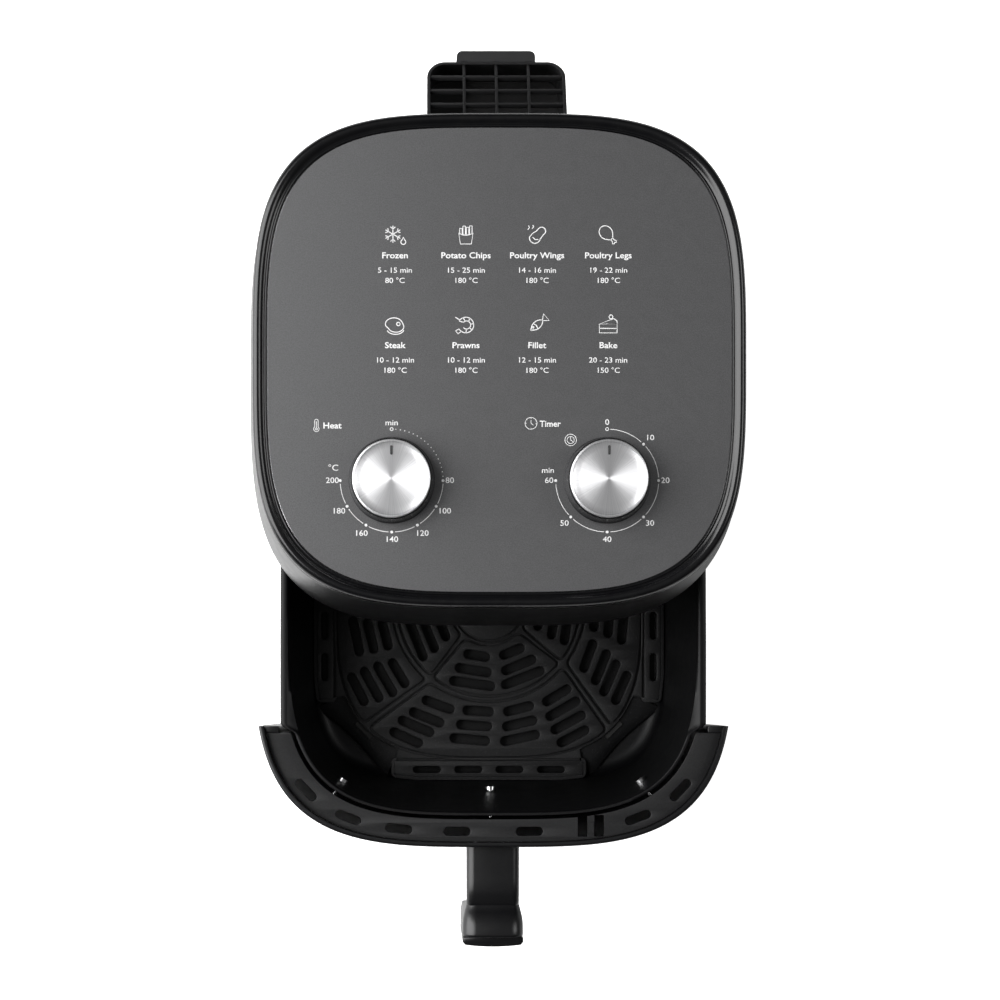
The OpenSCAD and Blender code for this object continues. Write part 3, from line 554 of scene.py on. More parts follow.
outside = [(SHELL_FOOT, 0.9), (SHELL_FOOT + 0.7, 0.25), (SHELL_FOOT + 2, 0.0)]
outside += [(z, 0.0) for z in np.linspace(SHELL_FOOT + 6, SHELL_TOP - 5, 16)]
outside += [(SHELL_TOP - 0.8, 0.0), (SHELL_TOP - 0.2, 0.25), (SHELL_TOP, 0.7)]
inside = [(z, WALL) for z in np.linspace(SHELL_TOP, SHELL_FOOT, 12)]
shell = loft("cabinet_shell", [ring(z, inset) for z, inset in outside + inside], closed=True)
cutters = [block((-FAR, MID_Y - FAR, OPENING_LOW), (FAR, OPENING_Y, OPENING_HIGH))]
cutters += [block((-EXHAUST_X, MID_Y + FAR / 2, low), (EXHAUST_X, MID_Y + FAR, high))
            for low, high in EXHAUST_SLOTS]
shell = cut(shell, cutters + [rod_y(0, INLET_Z, INLET_R, MID_Y + FAR / 2, MID_Y + FAR)])
print("shell", len(shell.data.polygons), "faces, opening edge at y =", round(OPENING_Y, 1))


# %% [markdown]
# ## Top frame
# A gloss black ring holds the panel. Seen from above it shows a rounded lip, a dark slope falling
# inwards and a thin raised bead beside the metal sheet. One closed profile swept round makes it.

# %% Top frame
FRAME_PROFILE = [(0.0, 292.5), (0.0, 300.0), (0.25, 302.0), (0.9, 303.6), (1.9, 304.6), (3.0, 305.0),
                 (4.0, 304.8), (4.9, 304.3), (5.7, 303.5), (6.3, 302.9), (6.9, 302.7), (7.1, 303.1),
                 (7.4, 303.5), (7.8, 303.6), (8.1, 303.4), (8.3, 302.9), (8.3, 302.3), (11.4, 302.2),
                 (11.4, 288.2), (2.9, 288.2), (2.9, 292.1), (0.6, 292.1)]


def frame_ring(inset, z):
    """The frame's outline at height z, moved inwards by inset."""
    half = HALF_TOP - inset
    return level(squircle(half, half, MID_Y), z)


top_frame = loft("top_frame", [frame_ring(*step) for step in FRAME_PROFILE], closed=True, sharp=50)
print("top frame reaches z =", max(z for _, z in FRAME_PROFILE))


# %% [markdown]
# ## Panel sheet
# A 1 mm aluminium sheet, lacquered dark grey. Its edge is cut after lacquering, so a bright bevel
# runs round it and catches the light on the side that faces it.

# %% Panel sheet
SHEET_T = panel_high[2] - panel_low[2]
BEVEL, BEVEL_DEEP, BURR = 0.5, 0.45, 0.15
SHEET_LOW = PANEL_TOP - SHEET_T
sheet_rings = [(BURR, SHEET_LOW), (0.0, SHEET_LOW + BURR), (0.0, PANEL_TOP - BEVEL_DEEP),
               (BEVEL, PANEL_TOP), (BEVEL + 0.02, PANEL_TOP)]
panel = loft("panel_sheet", [level(squircle(PANEL_HALF - inset, PANEL_HALF - inset, MID_Y), z)
                             for inset, z in sheet_rings], sharp=15)
print("panel sheet", round(SHEET_T, 2), "mm thick, bevel", BEVEL, "mm wide")


# %% [markdown]
# ## Dials
# Each dial is a glossy black skirt with a spun aluminium disc pressed into it. Everything is turned
# on one axis, so a profile of radius and height is swept round, and the closed ends are flat discs.

# %% Dials
skirt_low, skirt_high = box_mm("temperature_skirt")
cap_low, cap_high = box_mm("temperature_cap")
SKIRT_R = (skirt_high[0] - skirt_low[0]) / 2
CAP_R = (cap_high[0] - cap_low[0]) / 2
DIAL_Z = skirt_low[2]
CAP_TOP = cap_high[2]


def turned(name, profile, middle, closed=False, count=160, sharp=35):
    """A turned part: profile is a list of radius and height, from the underside to the top."""
    t = np.linspace(0, 2 * math.pi, count, endpoint=False)
    circle = np.column_stack([np.cos(t), np.sin(t)])
    return loft(name, [level(circle * r + middle, z) for r, z in profile], closed, sharp)


def dial_skirt(name, middle):
    """The skirt: a flared foot, a leaning wall, a round lip and a hollow underside."""
    wall, top = CAP_R + 0.75, DIAL_Z + 14.0
    profile = [(SKIRT_R - 2, DIAL_Z), (SKIRT_R - 0.4, DIAL_Z), (SKIRT_R, DIAL_Z + 0.4),
               (SKIRT_R, DIAL_Z + 1.5), (SKIRT_R - 0.3, DIAL_Z + 2.2), (wall + 0.9, DIAL_Z + 9.0),
               (wall + 0.25, DIAL_Z + 12.2), (wall, top - 0.3), (wall - 0.25, top), (CAP_R + 0.2, top),
               (CAP_R + 0.06, top - 0.2), (CAP_R + 0.06, top - 2.0), (3.1, top - 2.0), (3.1, DIAL_Z + 4),
               (6, DIAL_Z + 4), (6, DIAL_Z + 1), (SKIRT_R - 2, DIAL_Z + 1)]
    return turned(name, profile, middle, closed=True)


def dial_disc(name, middle):
    """The spun disc: a raised rim round a flat face."""
    low, flat = DIAL_Z + 12.05, CAP_TOP - 0.6
    profile = [(CAP_R - 0.4, low), (CAP_R, low + 0.4), (CAP_R, CAP_TOP - 0.55),
               (CAP_R - 0.25, CAP_TOP - 0.12), (CAP_R - 0.7, CAP_TOP), (CAP_R - 1.25, CAP_TOP - 0.05),
               (CAP_R - 1.6, CAP_TOP - 0.4), (CAP_R - 1.9, flat), (CAP_R * 0.75, flat),
               (CAP_R * 0.5, flat), (CAP_R * 0.25, flat), (0.6, flat)]
    return turned(name, profile, middle)


def middle_of(node):
    """Middle of a node's box in plan, in millimetres."""
    low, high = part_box(node)
    return (np.array(low[:2]) + np.array(high[:2])) / 2 / MM


dial_mids = {side: middle_of(side + "_cap") for side in ("temperature", "timer")}
skirts = {side: dial_skirt(side + "_dial_skirt", middle) for side, middle in dial_mids.items()}
discs = {side: dial_disc(side + "_dial_disc", middle) for side, middle in dial_mids.items()}
print("dials at", {side: middle.round(1).tolist() for side, middle in dial_mids.items()})


# %% [markdown]
# ## Rear vent
# Hot air leaves through a hood on the back wall. Its top slopes down and away, and a grille of ribs
# closes it. The hood is a loft whose upper ring follows the slope, and a node tree lays the ribs.

# %% Vent hood
hood_low, hood_high = box_mm("rear_vent_hood")
HOOD_X, HOOD_BACK = hood_high[0], hood_high[1]
HOOD_FOOT = hood_low[2]
HOOD_R = 11.0
HOOD_BACK_Z, HOOD_RUN, HOOD_RISE = 234.0, 42.0, 28.0
SLOPE = math.atan2(HOOD_RISE, HOOD_RUN)


def hood_plan(inset, front):
    """The hood from above: straight at the wall, rounded at the back, anticlockwise."""
    r = HOOD_R - inset
    t = np.linspace(0, math.pi / 2, 13)
    right = np.column_stack([HOOD_X - HOOD_R + r * np.cos(t), HOOD_BACK - HOOD_R + r * np.sin(t)])
    left = right[::-1] * [-1, 1]
    return np.vstack([[(-HOOD_X + inset, front), (HOOD_X - inset, front)], right, left])


def slope_z(y, drop=0.0):
    """Height of the hood's sloping top at y, less a drop."""
    return HOOD_BACK_Z - drop + (HOOD_BACK - y) * math.tan(SLOPE)


def sloped(points, drop=0.0):
    """Plan points laid on the slope."""
    return np.column_stack([points, slope_z(points[:, 1], drop)])


HOOD_FRONT = 143.5
RIM_DROP, LIP = 0.7, 2.0
front_in = MID_Y + HOOD_FRONT
hood = loft("vent_hood_case", [
    level(hood_plan(0.6, front_in), HOOD_FOOT), level(hood_plan(0, front_in), HOOD_FOOT + 0.6),
    sloped(hood_plan(0, front_in), RIM_DROP), sloped(hood_plan(0.2, front_in), 0.2),
    sloped(hood_plan(0.7, front_in)), sloped(hood_plan(LIP - 0.2, front_in)),
    sloped(hood_plan(LIP, front_in), 0.4), level(hood_plan(LIP, front_in), HOOD_FOOT + LIP)])
print("vent hood", len(hood.data.polygons), "faces, slope", round(math.degrees(SLOPE), 1), "degrees")

# %% [markdown]
# ### Grille ribs
# The grille is two sets of flat bars that cross. Each set is one bar repeated at an even pitch, which
# is what Instance on Points does. The crossed bars are laid flat first, then tilted to the slope.

# %% Grille ribs
RIB_PITCH_X, RIB_PITCH_Y, RIB_W = 19.3, 9.6, 1.7
RIB_DEEP, RIB_SINK = 3.2, 2.6
RIB_MIDDLE = 20.6


def rib_grille():
    """A tree that lays two sets of crossed ribs on a flat plane."""
    sizes = {"Pitch Across": FLOAT, "Pitch Along": FLOAT, "Across": VECTOR, "Along": VECTOR, "Ribs": WHOLE}
    tree, start = new_tree("rib_grille", sizes)
    sets = []
    for pitch, bar, axis in (("Pitch Across", "Along", "X"), ("Pitch Along", "Across", "Y")):
        gap = add(tree, "ShaderNodeCombineXYZ", {axis: start[pitch]}).outputs[0]
        line = add(tree, "GeometryNodeMeshLine", {"Count": start["Ribs"], "Offset": gap}).outputs[0]
        back = add(tree, "ShaderNodeVectorMath", {0: gap, 1: (-1, -1, -1)}, operation="MULTIPLY").outputs[0]
        line = add(tree, "GeometryNodeTransform", {"Geometry": line, "Translation": back}).outputs[0]
        cube = add(tree, "GeometryNodeMeshCube", {"Size": start[bar]}).outputs["Mesh"]
        bars = add(tree, "GeometryNodeInstanceOnPoints", {"Points": line, "Instance": cube})
        sets.append(bars.outputs[0])
    both = tree.nodes.new("GeometryNodeJoinGeometry")
    for one in sets:
        tree.links.new(one, both.inputs[0])
    finish_tree(tree, start, both.outputs[0])
    return tree


run = HOOD_RUN / math.cos(SLOPE)
grille = grown("vent_grille", rib_grille(), {
    "Pitch Across": RIB_PITCH_X * MM, "Pitch Along": RIB_PITCH_Y / math.cos(SLOPE) * MM, "Ribs": 3,
    "Across": (2 * (HOOD_X - 1.5) * MM, RIB_W * MM, RIB_DEEP * MM),
    "Along": (RIB_W * MM, (run - 1) * MM, RIB_DEEP * MM), "Material": vent_material})
rib_mid_y = HOOD_BACK - RIB_MIDDLE
tilt = Matrix.Rotation(-SLOPE, 4, "X")
grille.data.transform(shift_matrix(0, rib_mid_y, slope_z(rib_mid_y, RIB_SINK)) @ tilt)
grille = soften(grille, 0.4)


# %% [markdown]
# ## Basket
# The pan is pressed from steel sheet: a floor with a rounded edge, walls that lean out and a rim that
# rolls outwards. The loft goes up the outside, over the rim and down the inside, so it has thickness.

# %% Basket
OUT_Y = MID_Y - PULL
WING_BACK = OUT_Y - WING_END
PAN_T = 1.5
MOUTH = 128.0
RIM_W = basket_high[0] - MOUTH
BEAD_W = 2.2
FLOOR_SQUARE = 4.6
LEAN, FLOOR_SHIFT = 11.5, 5.3
RIM_MID = OUT_Y - 0.3


def pan_ring(z, out):
    """The basket's outline at height z, moved outwards by out."""
    rise = min(1.0, max(0.0, (z - FLOOR_Z) / DEPTH))
    hx = MOUTH - LEAN * (1 - rise) + out
    hy = DEPTH - 1 + (MOUTH - DEPTH + 1) * rise + out
    square = FLOOR_SQUARE + (SQUARE - FLOOR_SQUARE) * rise
    return level(squircle(hx, hy, RIM_MID + FLOOR_SHIFT * (1 - rise), square), z)


def rim_ring(z, part):
    """A ring of the rim: a flat flange at the sides and back, only a narrow bead inside the front."""
    flange, bead = pan_ring(z, RIM_W * part), pan_ring(z, BEAD_W * part)
    half = MOUTH + RIM_W * part
    ahead = np.clip((RIM_MID - flange[:, 1]) / half, 0, 1)
    straight = half * (1 - ahead ** 9) ** (1 / 9)
    wide = np.maximum(np.abs(flange[:, 0]), straight)
    flange[:, 0] = np.where(ahead > 0, np.sign(flange[:, 0]) * wide, flange[:, 0])
    front = np.clip((WING_BACK - flange[:, 1:2]) / 5, 0, 1)
    return flange * (1 - front) + bead * front


def floor_round(h, reach=7.0, tall=8.0):
    """How far the floor's rounded edge holds the wall in at height h above the floor."""
    return -reach * (1 - math.sqrt(max(0.0, 1 - ((tall - h) / tall) ** 2))) if h < tall else 0.0


heights = [0.0, 0.3, 0.8, 1.6, 2.8, 4.4, 6.2, 8.0]
walls = list(np.linspace(FLOOR_Z + 20, RIM_Z - 6, 7))
up = [(FLOOR_Z + h - PAN_T, floor_round(h) + PAN_T * 0.8) for h in heights]
up += [(z, PAN_T) for z in walls] + [(RIM_Z - 2.2, PAN_T)]
rim = [(RIM_Z - 2.0, 0.85), (RIM_Z - 1.6, 0.96), (RIM_Z - 1.0, 1.0), (RIM_Z - 0.4, 0.96), (RIM_Z, 0.85),
       (RIM_Z, 0.3), (RIM_Z - 0.15, 0.15), (RIM_Z - 0.6, 0.04)]
down = [(RIM_Z - 1.4, 0.0)] + [(z, 0.0) for z in walls[::-1]]
down += [(FLOOR_Z + h, floor_round(h)) for h in heights[::-1]]
pan_rings = [pan_ring(z, out) for z, out in up] + [rim_ring(z, part) for z, part in rim]
pan = loft("basket_pan", pan_rings + [pan_ring(z, out) for z, out in down], sharp=60)
print("basket", len(pan.data.polygons), "faces, floor at z =", FLOOR_Z)


# %% [markdown]
# ## Drawer front
# The front is a curved wall that carries on the cabinet's shape, with wings that run back past the
# corners. Every ring of points ends exactly where the wings end, so the ends are flat and square.

# %% Drawer front
FRONT_T = 3.0
FRONT_LOW, FRONT_HIGH = front_low[2], front_high[2]
STEPS = 168


def front_arc(half, end=None, steps=STEPS):
    """Plan points of the front from the left wing's end round to the right one's."""
    turn = math.asin(((end or WING_END) / half) ** (SQUARE / 2))
    t = np.linspace(math.pi + turn, 2 * math.pi - turn, steps + 1)
    c, s = np.cos(t), np.sin(t)
    x = half * np.sign(c) * np.abs(c) ** (2 / SQUARE)
    y = half * np.sign(s) * np.abs(s) ** (2 / SQUARE)
    return np.column_stack([x, y + OUT_Y])


def sweep_front(name, section, end=None, sharp=35):
    """Sweeps a section, given as inset and height, along the front. The section runs down its outside."""
    lines = [level(front_arc(half_at(z) - inset, end), z) for inset, z in section]
    return loft(name, [np.array([line[i] for line in lines]) for i in range(STEPS + 1)], sharp=sharp)


tall = np.linspace(FRONT_HIGH - 4, FRONT_LOW + 4, 12)
section = [(1.5, FRONT_HIGH), (0.7, FRONT_HIGH - 0.2), (0.2, FRONT_HIGH - 0.7), (0.0, FRONT_HIGH - 1.5)]
section += [(0.0, z) for z in tall] + [(0.0, FRONT_LOW + 1.2), (0.4, FRONT_LOW + 0.3), (1.2, FRONT_LOW)]
section += [(FRONT_T - 0.3, FRONT_LOW), (FRONT_T, FRONT_LOW + 0.3)]
section += [(FRONT_T, z) for z in tall[::-1]]
section += [(FRONT_T, FRONT_HIGH - 0.7), (FRONT_T - 0.3, FRONT_HIGH - 0.15)]
face = sweep_front("face", section)
LEDGE, LEDGE_T = 27.0, 2.5
ledge_section = [(1.5, FRONT_LOW + LEDGE_T), (1.5, FRONT_LOW + 0.4), (LEDGE - 0.5, FRONT_LOW + 0.4),
                 (LEDGE, FRONT_LOW + 0.8), (LEDGE, FRONT_LOW + LEDGE_T)]
ledge = sweep_front("ledge", ledge_section)
END_T, END_IN = 4.2, 134.0


def end_wall(side):
    """The wall that closes a wing's end, from the front's inner face to the basket's flange."""
    rings = []
    for z in np.linspace(FRONT_LOW + 4, RIM_Z - 0.2, 12):
        half = half_at(z) - FRONT_T
        skin = (half ** SQUARE - WING_END ** SQUARE) ** (1 / SQUARE)
        x0, x1 = sorted((side * min(END_IN, skin + 0.4), side * (skin + 1.2)))
        y0, y1 = WING_BACK - END_T, WING_BACK
        rings.append(level(np.array([(x0, y0), (x1, y0), (x1, y1), (x0, y1)]), z))
    return soften(loft("end_wall", rings), 0.5)


front_shell = join("drawer_front_shell", [face, ledge, end_wall(-1), end_wall(1)])
print("wing ends at y =", round(WING_BACK, 1))


# %% [markdown]
# ## Rim frame
# A spark-textured frame fills the space between the basket and the front. It lies a little lower
# than the rim and has seven slots and a twin guide for the safety switch. Its outline is a closed
# curve with holes, which Blender fills and rounds in one step.

# %% Rim frame
frame_top = RIM_Z - 1.4
FRAME_T = 2.0
SLOT_X = (-117, -90.5, -59, -22.6, 22.6, 90.5, 117)
SLOT_HALF = 140.3
GUIDE_X, GUIDE_GAP = 61.0, 5.2


def frame_outline():
    """The frame from above: along the front's inner face, then back beside the basket's bead."""
    outer = front_arc(half_at(RIM_Z) - FRONT_T - 0.15, WING_END + END_T + 0.1)
    inner = squircle(MOUTH + 4.3, MOUTH + 4.3, RIM_MID, count=720)
    inner = inner[inner[:, 1] < outer[0, 1]]
    inner = inner[np.argsort(-inner[:, 0])]
    return np.vstack([outer, [(inner[0, 0], outer[0, 1])], inner, [(inner[-1, 0], outer[0, 1])]])


slots = [pill(x, OUT_Y + front_y(x, SLOT_HALF), 17, 5.5, front_slope(x, SLOT_HALF)) for x in SLOT_X]
rim_frame = flat_part("rim_frame", [frame_outline()] + slots, frame_top - FRAME_T, frame_top, 0.35)
guides = [block((GUIDE_X + s * GUIDE_GAP - 3, OUT_Y - 143.5, frame_top - 5),
                (GUIDE_X + s * GUIDE_GAP + 3, OUT_Y - 130, frame_top + 5), "guide") for s in (-1, 1)]
rim_frame = cut(rim_frame, guides)
print("rim frame", len(slots), "slots")


# %% [markdown]
# ## Crisper plate
# The plate is a thin casting: a base sheet, with raised islands that leave channels between them for
# the fat to run along. Both carry the same slots. Each island is a curve with holes and a round edge,
# repeated by quarter turns.

# %% Crisper plate outlines
plate_low, plate_high = box_mm("crisper_plate")
PLATE_TOP = plate_high[2]
PLATE_MID = np.array([0.0, (plate_low[1] + plate_high[1]) / 2])
PLATE_HALF = plate_high[0]
BASE_T, ISLAND_H = 1.0, 2.4
WEB_DROP, GROOVE = 0.3, 1.5
FLANGE_HALF, FLANGE_IN, CORNER_CUT, CUT_RUN = 64.0, 103.5, 1.6, 16
BORDER_HALF, BORDER_SQUARE = 101.0, 3.05
RING_IN, RING_OUT, HUB_R, CHANNEL = 60.4, 64.6, 25.0, 2.5


def polar(r, degrees):
    """A point from the plate's middle: the angle is measured from the front, towards +X."""
    a = np.radians(degrees)
    return np.column_stack([r * np.sin(a), -r * np.cos(a)])


def border(degrees, half=BORDER_HALF):
    """Distance of the islands' outer border in that direction."""
    a = np.radians(degrees)
    reach = np.abs(np.sin(a)) ** BORDER_SQUARE + np.abs(np.cos(a)) ** BORDER_SQUARE
    return half / reach ** (1 / BORDER_SQUARE)


def even(points, step=1.0):
    """The closed outline with points an even distance apart."""
    loop = np.vstack([points, points[:1]])
    along = np.concatenate([[0], np.cumsum(np.linalg.norm(np.diff(loop, axis=0), axis=1))])
    at = np.linspace(0, along[-1], max(12, int(along[-1] / step)), endpoint=False)
    return np.column_stack([np.interp(at, along, loop[:, k]) for k in (0, 1)])


def rounded(points, radius=3.0):
    """Rounds an outline's corners by averaging neighbours."""
    points = even(points)
    for _ in range(int(radius ** 2)):
        points = (np.roll(points, 1, 0) + 2 * points + np.roll(points, -1, 0)) / 4
    return points


def quarter(points, turns):
    """Turns plan points by that many quarter turns."""
    a = turns * math.pi / 2
    c, s = round(math.cos(a)), round(math.sin(a))
    return np.asarray(points) @ np.array([[c, s], [-s, c]])


def half_channel(r):
    """The angle that half a channel takes up at radius r, in degrees."""
    return math.degrees(CHANNEL / r)


def sector(r_in, r_out, left_in, right_in, left_out, right_out, count=40):
    """An island between two arcs. Its sides run straight from the inner angle to the outer one."""
    low = np.linspace(left_out + half_channel(100), right_out - half_channel(100), count)
    high = np.linspace(right_in - half_channel(r_in), left_in + half_channel(r_in), count)
    far = border(low) if r_out is None else np.full(count, r_out)
    return np.vstack([polar(far, low), polar(np.full(count, r_in), high)])


# Each outer slot is its radius, its angle from the front and its length. They stand in four rows.
OUTER_SLOTS = [(74.4, -27, 23), (85.4, -29, 25), (94.1, -31, 26), (104, -32, 24),
               (70.8, -5.8, 21), (80.7, -7, 24), (90.3, -8.1, 27),
               (71.7, 16, 21), (81.3, 14.6, 24), (90.8, 13.2, 27),
               (75.2, 37, 22), (84.8, 35.6, 26), (94.3, 34.1, 26), (103.8, 32.7, 24)]
INNER_SLOTS = [(34.5, 18), (44.5, 25), (53.3, 31)]
BORDER_MARGIN = 4.5


def slot_at(r, degrees, length, width=6.2):
    """A slot across the radius at that angle."""
    (x, y), = polar(np.array([r]), np.array([degrees]))
    return pill(x, y, length, width, math.radians(0.8 * degrees + 1.5))


outer_slots = [slot_at(r, a, length) for r, a, length in OUTER_SLOTS
               if r < border(np.array([a]))[0] - BORDER_MARGIN]
inner_slots = [slot_at(r, 6.5 + s * (20 if r < 50 else 18.5), length)
               for r, length in INNER_SLOTS for s in (-1, 1)]
flange_slots = [pill(x, -109.4, 18.5, 4.4) for x in (-41.3, -13.7, 13.7, 41.3)]


def flange_edge(inset_x, inset_y):
    """The flange's outer edge, with its two corners cut a little, left to right."""
    x, y = FLANGE_HALF - inset_x, -PLATE_HALF + inset_y
    start = FLANGE_HALF - CUT_RUN
    return np.array([(-x, y + CORNER_CUT), (-start, y), (start, y), (x, y + CORNER_CUT)])


outer_island = rounded(sector(RING_OUT + 0.4, None, -38.6, 51.4, -45.5, 44.5))
inner_island = rounded(sector(HUB_R + 2.2, RING_IN - 0.4, -38.6, 51.4, -38.6, 51.4))
flange_back = [(FLANGE_HALF - 1.2, -FLANGE_IN), (-FLANGE_HALF + 1.2, -FLANGE_IN)]
flange_island = rounded(np.vstack([flange_edge(1.2, 0.6), flange_back]), 1.5)
print(len(outer_slots), "outer slots kept in each quarter")


# %% Crisper plate pieces
def base_outline():
    """The base sheet: the rounded border with a flange on each side."""
    points = []
    for q in range(4):
        corner = np.linspace(32.5, 57.5, 24)
        edge = polar(border(corner, BORDER_HALF + 2.4), corner)
        points.append(quarter(np.vstack([flange_edge(0, 0), edge]), q))
    return np.vstack(points)


def on_plate(outlines, z0, z1, edge):
    """A layer of the plate, drawn about the plate's own middle."""
    return flat_part("layer", [points + PLATE_MID for points in outlines], z0, z1, edge)


all_slots = [quarter(points, q) for points in outer_slots + inner_slots + flange_slots for q in range(4)]
layers = [on_plate([base_outline()] + all_slots, PLATE_TOP - ISLAND_H - BASE_T, PLATE_TOP - ISLAND_H, 0.2)]
island_z = (PLATE_TOP - ISLAND_H - 0.2, PLATE_TOP)
ISLAND_EDGE = 0.45
islands = ((outer_island, outer_slots), (inner_island, inner_slots), (flange_island, flange_slots))
for q in range(4):
    for outline, holes in islands:
        turned_outlines = [quarter(points, q) for points in [outline] + holes]
        layers.append(on_plate(turned_outlines, *island_z, ISLAND_EDGE))
hub = polar(np.full(48, HUB_R - 1.8), np.linspace(0, 360, 48, endpoint=False))
layers.append(on_plate([hub], *island_z, ISLAND_EDGE))
wells = [grow(quarter(island, q), GROOVE) for island, _ in islands for q in range(4)]
web = [grow(base_outline(), -0.6)] + wells + [grow(hub, GROOVE)]
layers.append(on_plate(web, island_z[0], PLATE_TOP - WEB_DROP, 0.3))


def corner_skirt(q):
    """The sloping skirt that fills a corner between two flanges and stiffens the plate."""
    angles = np.linspace(32.0, 58.0, 25)
    bow = np.sin(np.linspace(0, math.pi, 25))
    near = polar(border(angles, BORDER_HALF + 1.8), angles)
    far = polar(133.4 - 6.5 * bow, np.linspace(30.8, 59.2, 25))
    top = PLATE_TOP - ISLAND_H
    across = [(0.0, 0.0), (0.5, -1.2), (0.9, -3.2), (1.0, -5.0), (1.0, -6.2), (0.9, -6.2), (0.5, -2.6),
              (0.0, -1.2)]
    rings = [np.array([np.append(a + (b - a) * part, top + drop) for part, drop in across])
             for a, b in zip(near, far)]
    rings = [np.column_stack([quarter(r[:, :2], q) + PLATE_MID, r[:, 2]]) for r in rings]
    return weld(loft("skirt", rings, sharp=50))


layers += [corner_skirt(q) for q in range(4)]
for q in range(4):
    foot = block((-9, -116, FLOOR_Z + 0.3), (9, -112, PLATE_TOP - 2.2), "foot")
    foot.data.transform(Matrix.Rotation(math.radians(45 + 90 * q), 4, "Z"))
    foot.data.transform(shift_matrix(*PLATE_MID, 0))
    layers.append(foot)
plate = join("crisper_casting", layers, sharp=40)
print("crisper", len(plate.data.polygons), "faces")


# %% [markdown]
# ## Handle
# The arm leaves the front level and turns down into an upright grip, with a thin glossy cover on its
# face. Sections are rounded rectangles, because a moulded handle has no sharp edge for the hand.

# %% Handle
arm_low, arm_high = box_mm("handle_arm")
grip_low, grip_high = box_mm("handle_grip")
cover_low, cover_high = box_mm("handle_cover")


def soft_box(x0, x1, y0, y1, r, steps=6):
    """A rounded rectangle, anticlockwise."""
    t = np.linspace(0, math.pi / 2, steps + 1)
    arc = np.column_stack([np.cos(t), np.sin(t)]) * r
    c, s = arc, arc @ np.array([[0, 1], [-1, 0]])
    corners = [(x1 - r, y1 - r, c), (x0 + r, y1 - r, s), (x0 + r, y0 + r, -c), (x1 - r, y0 + r, -s)]
    return np.vstack([a + (x, y) for x, y, a in corners])


def upright(points, y):
    """A section drawn in X and Z, set at y."""
    return np.column_stack([points[:, 0], np.full(len(points), y), points[:, 1]])


ARM_X, ARM_Z0, ARM_Z1 = arm_high[0], arm_low[2], arm_high[2]
GRIP_BACK, GRIP_FACE = grip_high[1], grip_low[1]
GRIP_LOW = grip_low[2]


def along(start, steps):
    """Sections along -Y from y = start: each step is distance, half width, lowest and highest z, corner."""
    return [upright(soft_box(-half, half, low, high, r), start - d) for d, half, low, high, r in steps]


arm_back = OUT_Y - HALF_BELLY + 1.2
bend = arm_back - GRIP_BACK
arm_steps = [(0.0, ARM_X, ARM_Z0, ARM_Z1, 5.0), (bend - 14, ARM_X, ARM_Z0, ARM_Z1, 5.0),
             (bend - 9, ARM_X, ARM_Z0, ARM_Z1 - 0.2, 5.0), (bend - 5, ARM_X, ARM_Z0, ARM_Z1 - 1.0, 4.8),
             (bend - 2, ARM_X, ARM_Z0, ARM_Z1 - 2.2, 4.6), (bend + 0.5, ARM_X, ARM_Z0, ARM_Z1 - 3.0, 4.4),
             (bend + 2.0, ARM_X - 1, ARM_Z0 + 1, ARM_Z1 - 4.0, 4.0)]
arm = loft("handle_arm_moulding", along(arm_back, arm_steps), sharp=60)
grip_steps = [(0.0, 15.6, 142, 163.6, 5.0), (0.4, 16.4, 136, 164.6, 6.0), (1.4, 16.8, 126, 165.0, 6.6),
              (3.0, 17.2, 110, 165.8, 7.0), (4.4, 17.6, 84, 166.6, 7.4), (5.4, 17.8, 66, 167.3, 7.6),
              (7.0, 18.2, 62, 168.3, 8.0), (9.5, 18.7, 60.4, 169.6, 8.4), (12.5, 19.0, GRIP_LOW, 170.7, 8.6),
              (16.0, 19.0, GRIP_LOW, 171.5, 8.6), (19.0, 19.0, GRIP_LOW, 171.8, 8.6),
              (20.6, 18.8, 60.3, 171.6, 8.4), (GRIP_BACK - GRIP_FACE, 18.4, 60.8, 171.0, 8.0)]
grip = loft("handle_grip_moulding", along(GRIP_BACK, grip_steps), sharp=60)


def cover_plan(inset):
    """The cover from above: flat behind, bowed in front, with small round corners. Anticlockwise."""
    x = np.linspace(-1, 1, 25)
    half, back, face = cover_high[0] - inset, cover_high[1] - 0.1, cover_low[1] + inset
    corner = 1.6 * (1 - np.sqrt(np.clip(1 - ((np.abs(x) - 0.92).clip(0) / 0.08) ** 2, 0, 1)))
    front = np.column_stack([x * half, face + 1.4 * x ** 2 + corner])
    return np.vstack([front, [(half, back), (-half, back)]])


COVER_LOW, COVER_HIGH = cover_low[2], cover_high[2]
cover_steps = [(COVER_LOW, 0.9), (COVER_LOW + 0.3, 0.4), (COVER_LOW + 0.9, 0.0), (COVER_HIGH - 0.9, 0.0),
               (COVER_HIGH - 0.3, 0.35), (COVER_HIGH, 0.9)]
cover = loft("handle_front_cover", [level(cover_plan(inset), z) for z, inset in cover_steps], sharp=40)
print("handle reaches y =", round(cover_low[1], 1))


# %% [markdown]
# ## Printed marks
# The sheet is screen printed in white: two dial scales, eight cooking marks with their times, and
# two small signs. Lettering is Blender's own font turned to a mesh. Lines and dots are grown by node
# trees. The ink stands a few hundredths of a millimetre above the sheet, as real ink does.

# %% Ink tools
INK_T = 0.06
INK_Z = PANEL_TOP + INK_T / 2
CAP_SHARE = 0.72
ink_parts = []


